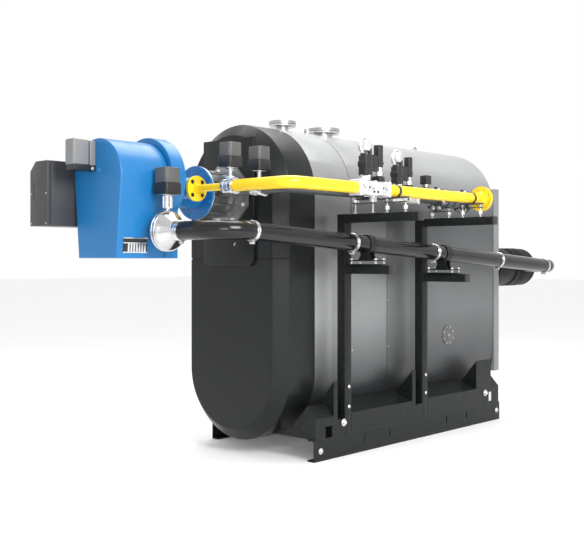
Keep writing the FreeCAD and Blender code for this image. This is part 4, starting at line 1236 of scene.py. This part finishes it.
def control_boxes():
    """Control cabinet and terminal box with lids, painted-shade vent slots, screws and a lamp."""
    low, high = BOX["burner_control_box"]
    middle, cut, lid = MID["burner_control_box"].y, 0.060, 0.030
    outline = [
        (low.y, low.z), (high.y, low.z), (high.y, high.z - cut), (high.y - cut, high.z), (low.y, high.z),
    ]
    inner = [(middle + (u - middle) * 0.97, low.z + (v - low.z) * 0.98 + 0.003) for u, v in outline]
    seam = low.x + lid
    body = Shape().prism(outline, "X", seam + 0.0015, high.x, 0.004, 3)
    body.prism(inner, "X", seam - 0.004, seam + 0.006, 0.0)
    body.prism(outline, "X", low.x + 0.001, seam - 0.0015, 0.005, 3)
    piece("control_cabinet", body, GREY, ["burner_control_box"])
    # Painted shade: near-black slots stand for the dark inside of the vent openings.
    vent_shade_slots = Shape()
    for k in range(5):
        z = low.z + 0.175 + 0.020 * k
        vent_shade_slots.block((low.x, high.y - 0.046, z), (low.x + 0.001, high.y - 0.036, z + 0.012), 0)
    piece("control_cabinet_vent_shade", vent_shade_slots, SHADE_AND_JOINT_BLACK)
    screws = Shape()
    for y in (low.y + 0.016, high.y - 0.016):
        for z in (low.z + 0.016, low.z + 0.200):
            screws.disc((low.x + 0.0008, y, z), FRONT, -0.002, 0.0008, 0.005, 0.0003, 20)
    piece("control_cabinet_screws", screws, ZINC)

    low, high = BOX["burner_terminal_box"]
    seam, foot = low.x + (high.x - low.x) * 0.72, low.z + 0.032
    box = Shape().block((low.x, low.y, foot), (seam - 0.0015, high.y, high.z), 0.012, 5)
    box.block((seam + 0.0015, low.y + 0.002, foot), (high.x, high.y - 0.002, high.z - 0.006), 0.004, 3)
    piece("terminal_box", box, LIGHT_GREY, ["burner_terminal_box"])
    base = Shape()
    base.block((low.x + 0.006, low.y + 0.003, low.z), (high.x, high.y - 0.003, foot + 0.012), 0.005, 3)
    base.block((seam - 0.008, low.y + 0.004, foot), (seam + 0.008, high.y - 0.004, high.z - 0.010), 0.002)
    piece("terminal_box_foot", base, BLACK_PLASTIC)
    lamp = Shape().lathe((high.x - 0.022, low.y + 0.003, low.z + 0.014), RIGHT, [
        (-0.001, 0.011), (0.0015, 0.011), (0.0028, 0.009), (0.0029, 0.001)], 32)
    piece("terminal_box_lamp", lamp, WHITE_METAL_AND_HIGHLIGHT)


# ---------------------------------------------------------------- top

def top_nozzles():
    """Blanked flanges on the crown: lower flange, gasket line, cover, studs and nuts."""
    for name, pcd in (("flow_nozzle", 0.210), ("safety_nozzle", 0.160)):
        keep(name, STEEL)
        x, y = MID[name].xy
        outer, top = BOX[name][1].x - x, BOX[name][1].z
        cover = Shape().disc((x, y, top - 0.022), DOWN, 0.002, 0.018, outer - 0.001, 0.002, 72)
        cover.lathe((x, y, top - 0.0025), UP, [(0, outer * 0.62), (0.0022, outer * 0.60)], 72)
        cover.bolt_circle((x, y, top - 0.009), UP, pcd, 8, across=0.020, head=0.006, washer=0.001)
        piece(f"{name}_cover", cover, POLISHED)
    keep("vent_socket", STEEL)
    x, y = MID["vent_socket"].xy
    spot = (x, y, BOX["vent_socket"][1].z - 0.012)
    plug = Shape().lathe(spot, UP, [(0, 0.0215), (0.010, 0.0215), (0.012, 0.019)], 6)
    piece("vent_plug", plug, ZINC)


# ---------------------------------------------------------------- studio

def look_at(obj, spot, target):
    """Place a lamp and aim it."""
    obj.location = spot
    obj.rotation_euler = (Vector(target) - Vector(spot)).to_track_quat("-Z", "Y").to_euler()


def camera():
    """Camera at standing height off the burner end."""
    data = bpy.data.cameras.new("camera")
    data.sensor_width = 36
    data.lens = 58.1
    data.shift_y = -0.0228
    camera = bpy.data.objects.new("camera", data)
    scene.collection.objects.link(camera)
    camera.location = (-5.927, -4.749, 1.3387)
    camera.rotation_euler = (math.pi / 2, 0, -(math.pi / 2 - math.radians(42.417)))
    scene.camera = camera
    scene.view_settings.view_transform = "Standard"


def world():
    """A white surround that dims a little above the horizon."""
    world = bpy.data.worlds.new("studio")
    world.use_nodes = True
    tree = world.node_tree
    back = tree.nodes["Background"]
    coords = tree.nodes.new("ShaderNodeTexCoord")
    split = tree.nodes.new("ShaderNodeSeparateXYZ")
    ramp = tree.nodes.new("ShaderNodeValToRGB")
    tree.links.new(coords.outputs["Generated"], split.inputs[0])
    tree.links.new(split.outputs["Z"], ramp.inputs[0])
    tree.links.new(ramp.outputs[0], back.inputs["Color"])
    stops = ((0.0, 1.0), (0.40, 1.0), (0.62, 0.78), (1.0, 0.90))
    elements = ramp.color_ramp.elements
    while len(elements) < len(stops):
        elements.new(0.5)
    for element, (position, value) in zip(elements, stops):
        element.position = position
        element.color = (value, value, value, 1)
    back.inputs["Strength"].default_value = 1.0
    scene.world = world


def lamps_and_floor():
    """Three big soft lamps and a pale floor."""
    for name, spot, target, size, power in (
        ("key", (-2.9, -5.6, 4.0), (-0.9, -0.4, 1.4), 2.4, 270),
        ("top", (0.2, 0.4, 5.4), (0.2, 0.0, 1.5), 3.6, 190),
        ("fill", (-6.6, -5.8, 2.6), (-1.2, -0.4, 1.3), 2.4, 90),
    ):
        lamp = bpy.data.lights.new(name, "AREA")
        lamp.size = size
        lamp.energy = power
        obj = bpy.data.objects.new(name, lamp)
        scene.collection.objects.link(obj)
        look_at(obj, spot, target)

    reach = 60
    mesh = bpy.data.meshes.new("studio_floor")
    mesh.from_pydata(
        [(-reach, -reach, 0), (reach, -reach, 0), (reach, reach, 0), (-reach, reach, 0)], [], [(0, 1, 2, 3)])
    floor = bpy.data.objects.new("studio_floor", mesh)
    scene.collection.objects.link(floor)
    finish = Finish("studio_floor", Emission_Strength=0.10)
    patches = finish.spread(finish.noise(0.6), 0, 1)
    finish.colour(finish.blend(patches, (0.91, 0.91, 0.91), (0.93, 0.93, 0.93)))
    finish.roughness(finish.spread(finish.noise(3), 0.75, 0.85))
    mesh.materials.append(finish.material)


hood()
hood_panel()
jacket()
rear_cover()
side_port()
lifting_eye()
shell_lug()
flue_duct()
base()
starts, size, tops = frames()
turn_end = recirc_pipe()
recirc_bands(turn_end)
pipe_shoes(starts, size, tops)
damper()
gas_pipes()
for side in ("outer", "inner"):
    valve_block(f"{side}_valve", f"{side}_gas_valve")
valve_heads("outer_valve", "outer_gas_valve", ["gas_valve_actuators"])
valve_heads("inner_valve", "inner_gas_valve")
throttles()
burner_inlets()
pipe_supports(starts, size)
pressure_switch()
burner()
burner_neck()
head_duct()
control_boxes()
top_nozzles()
camera()
world()
lamps_and_floor()
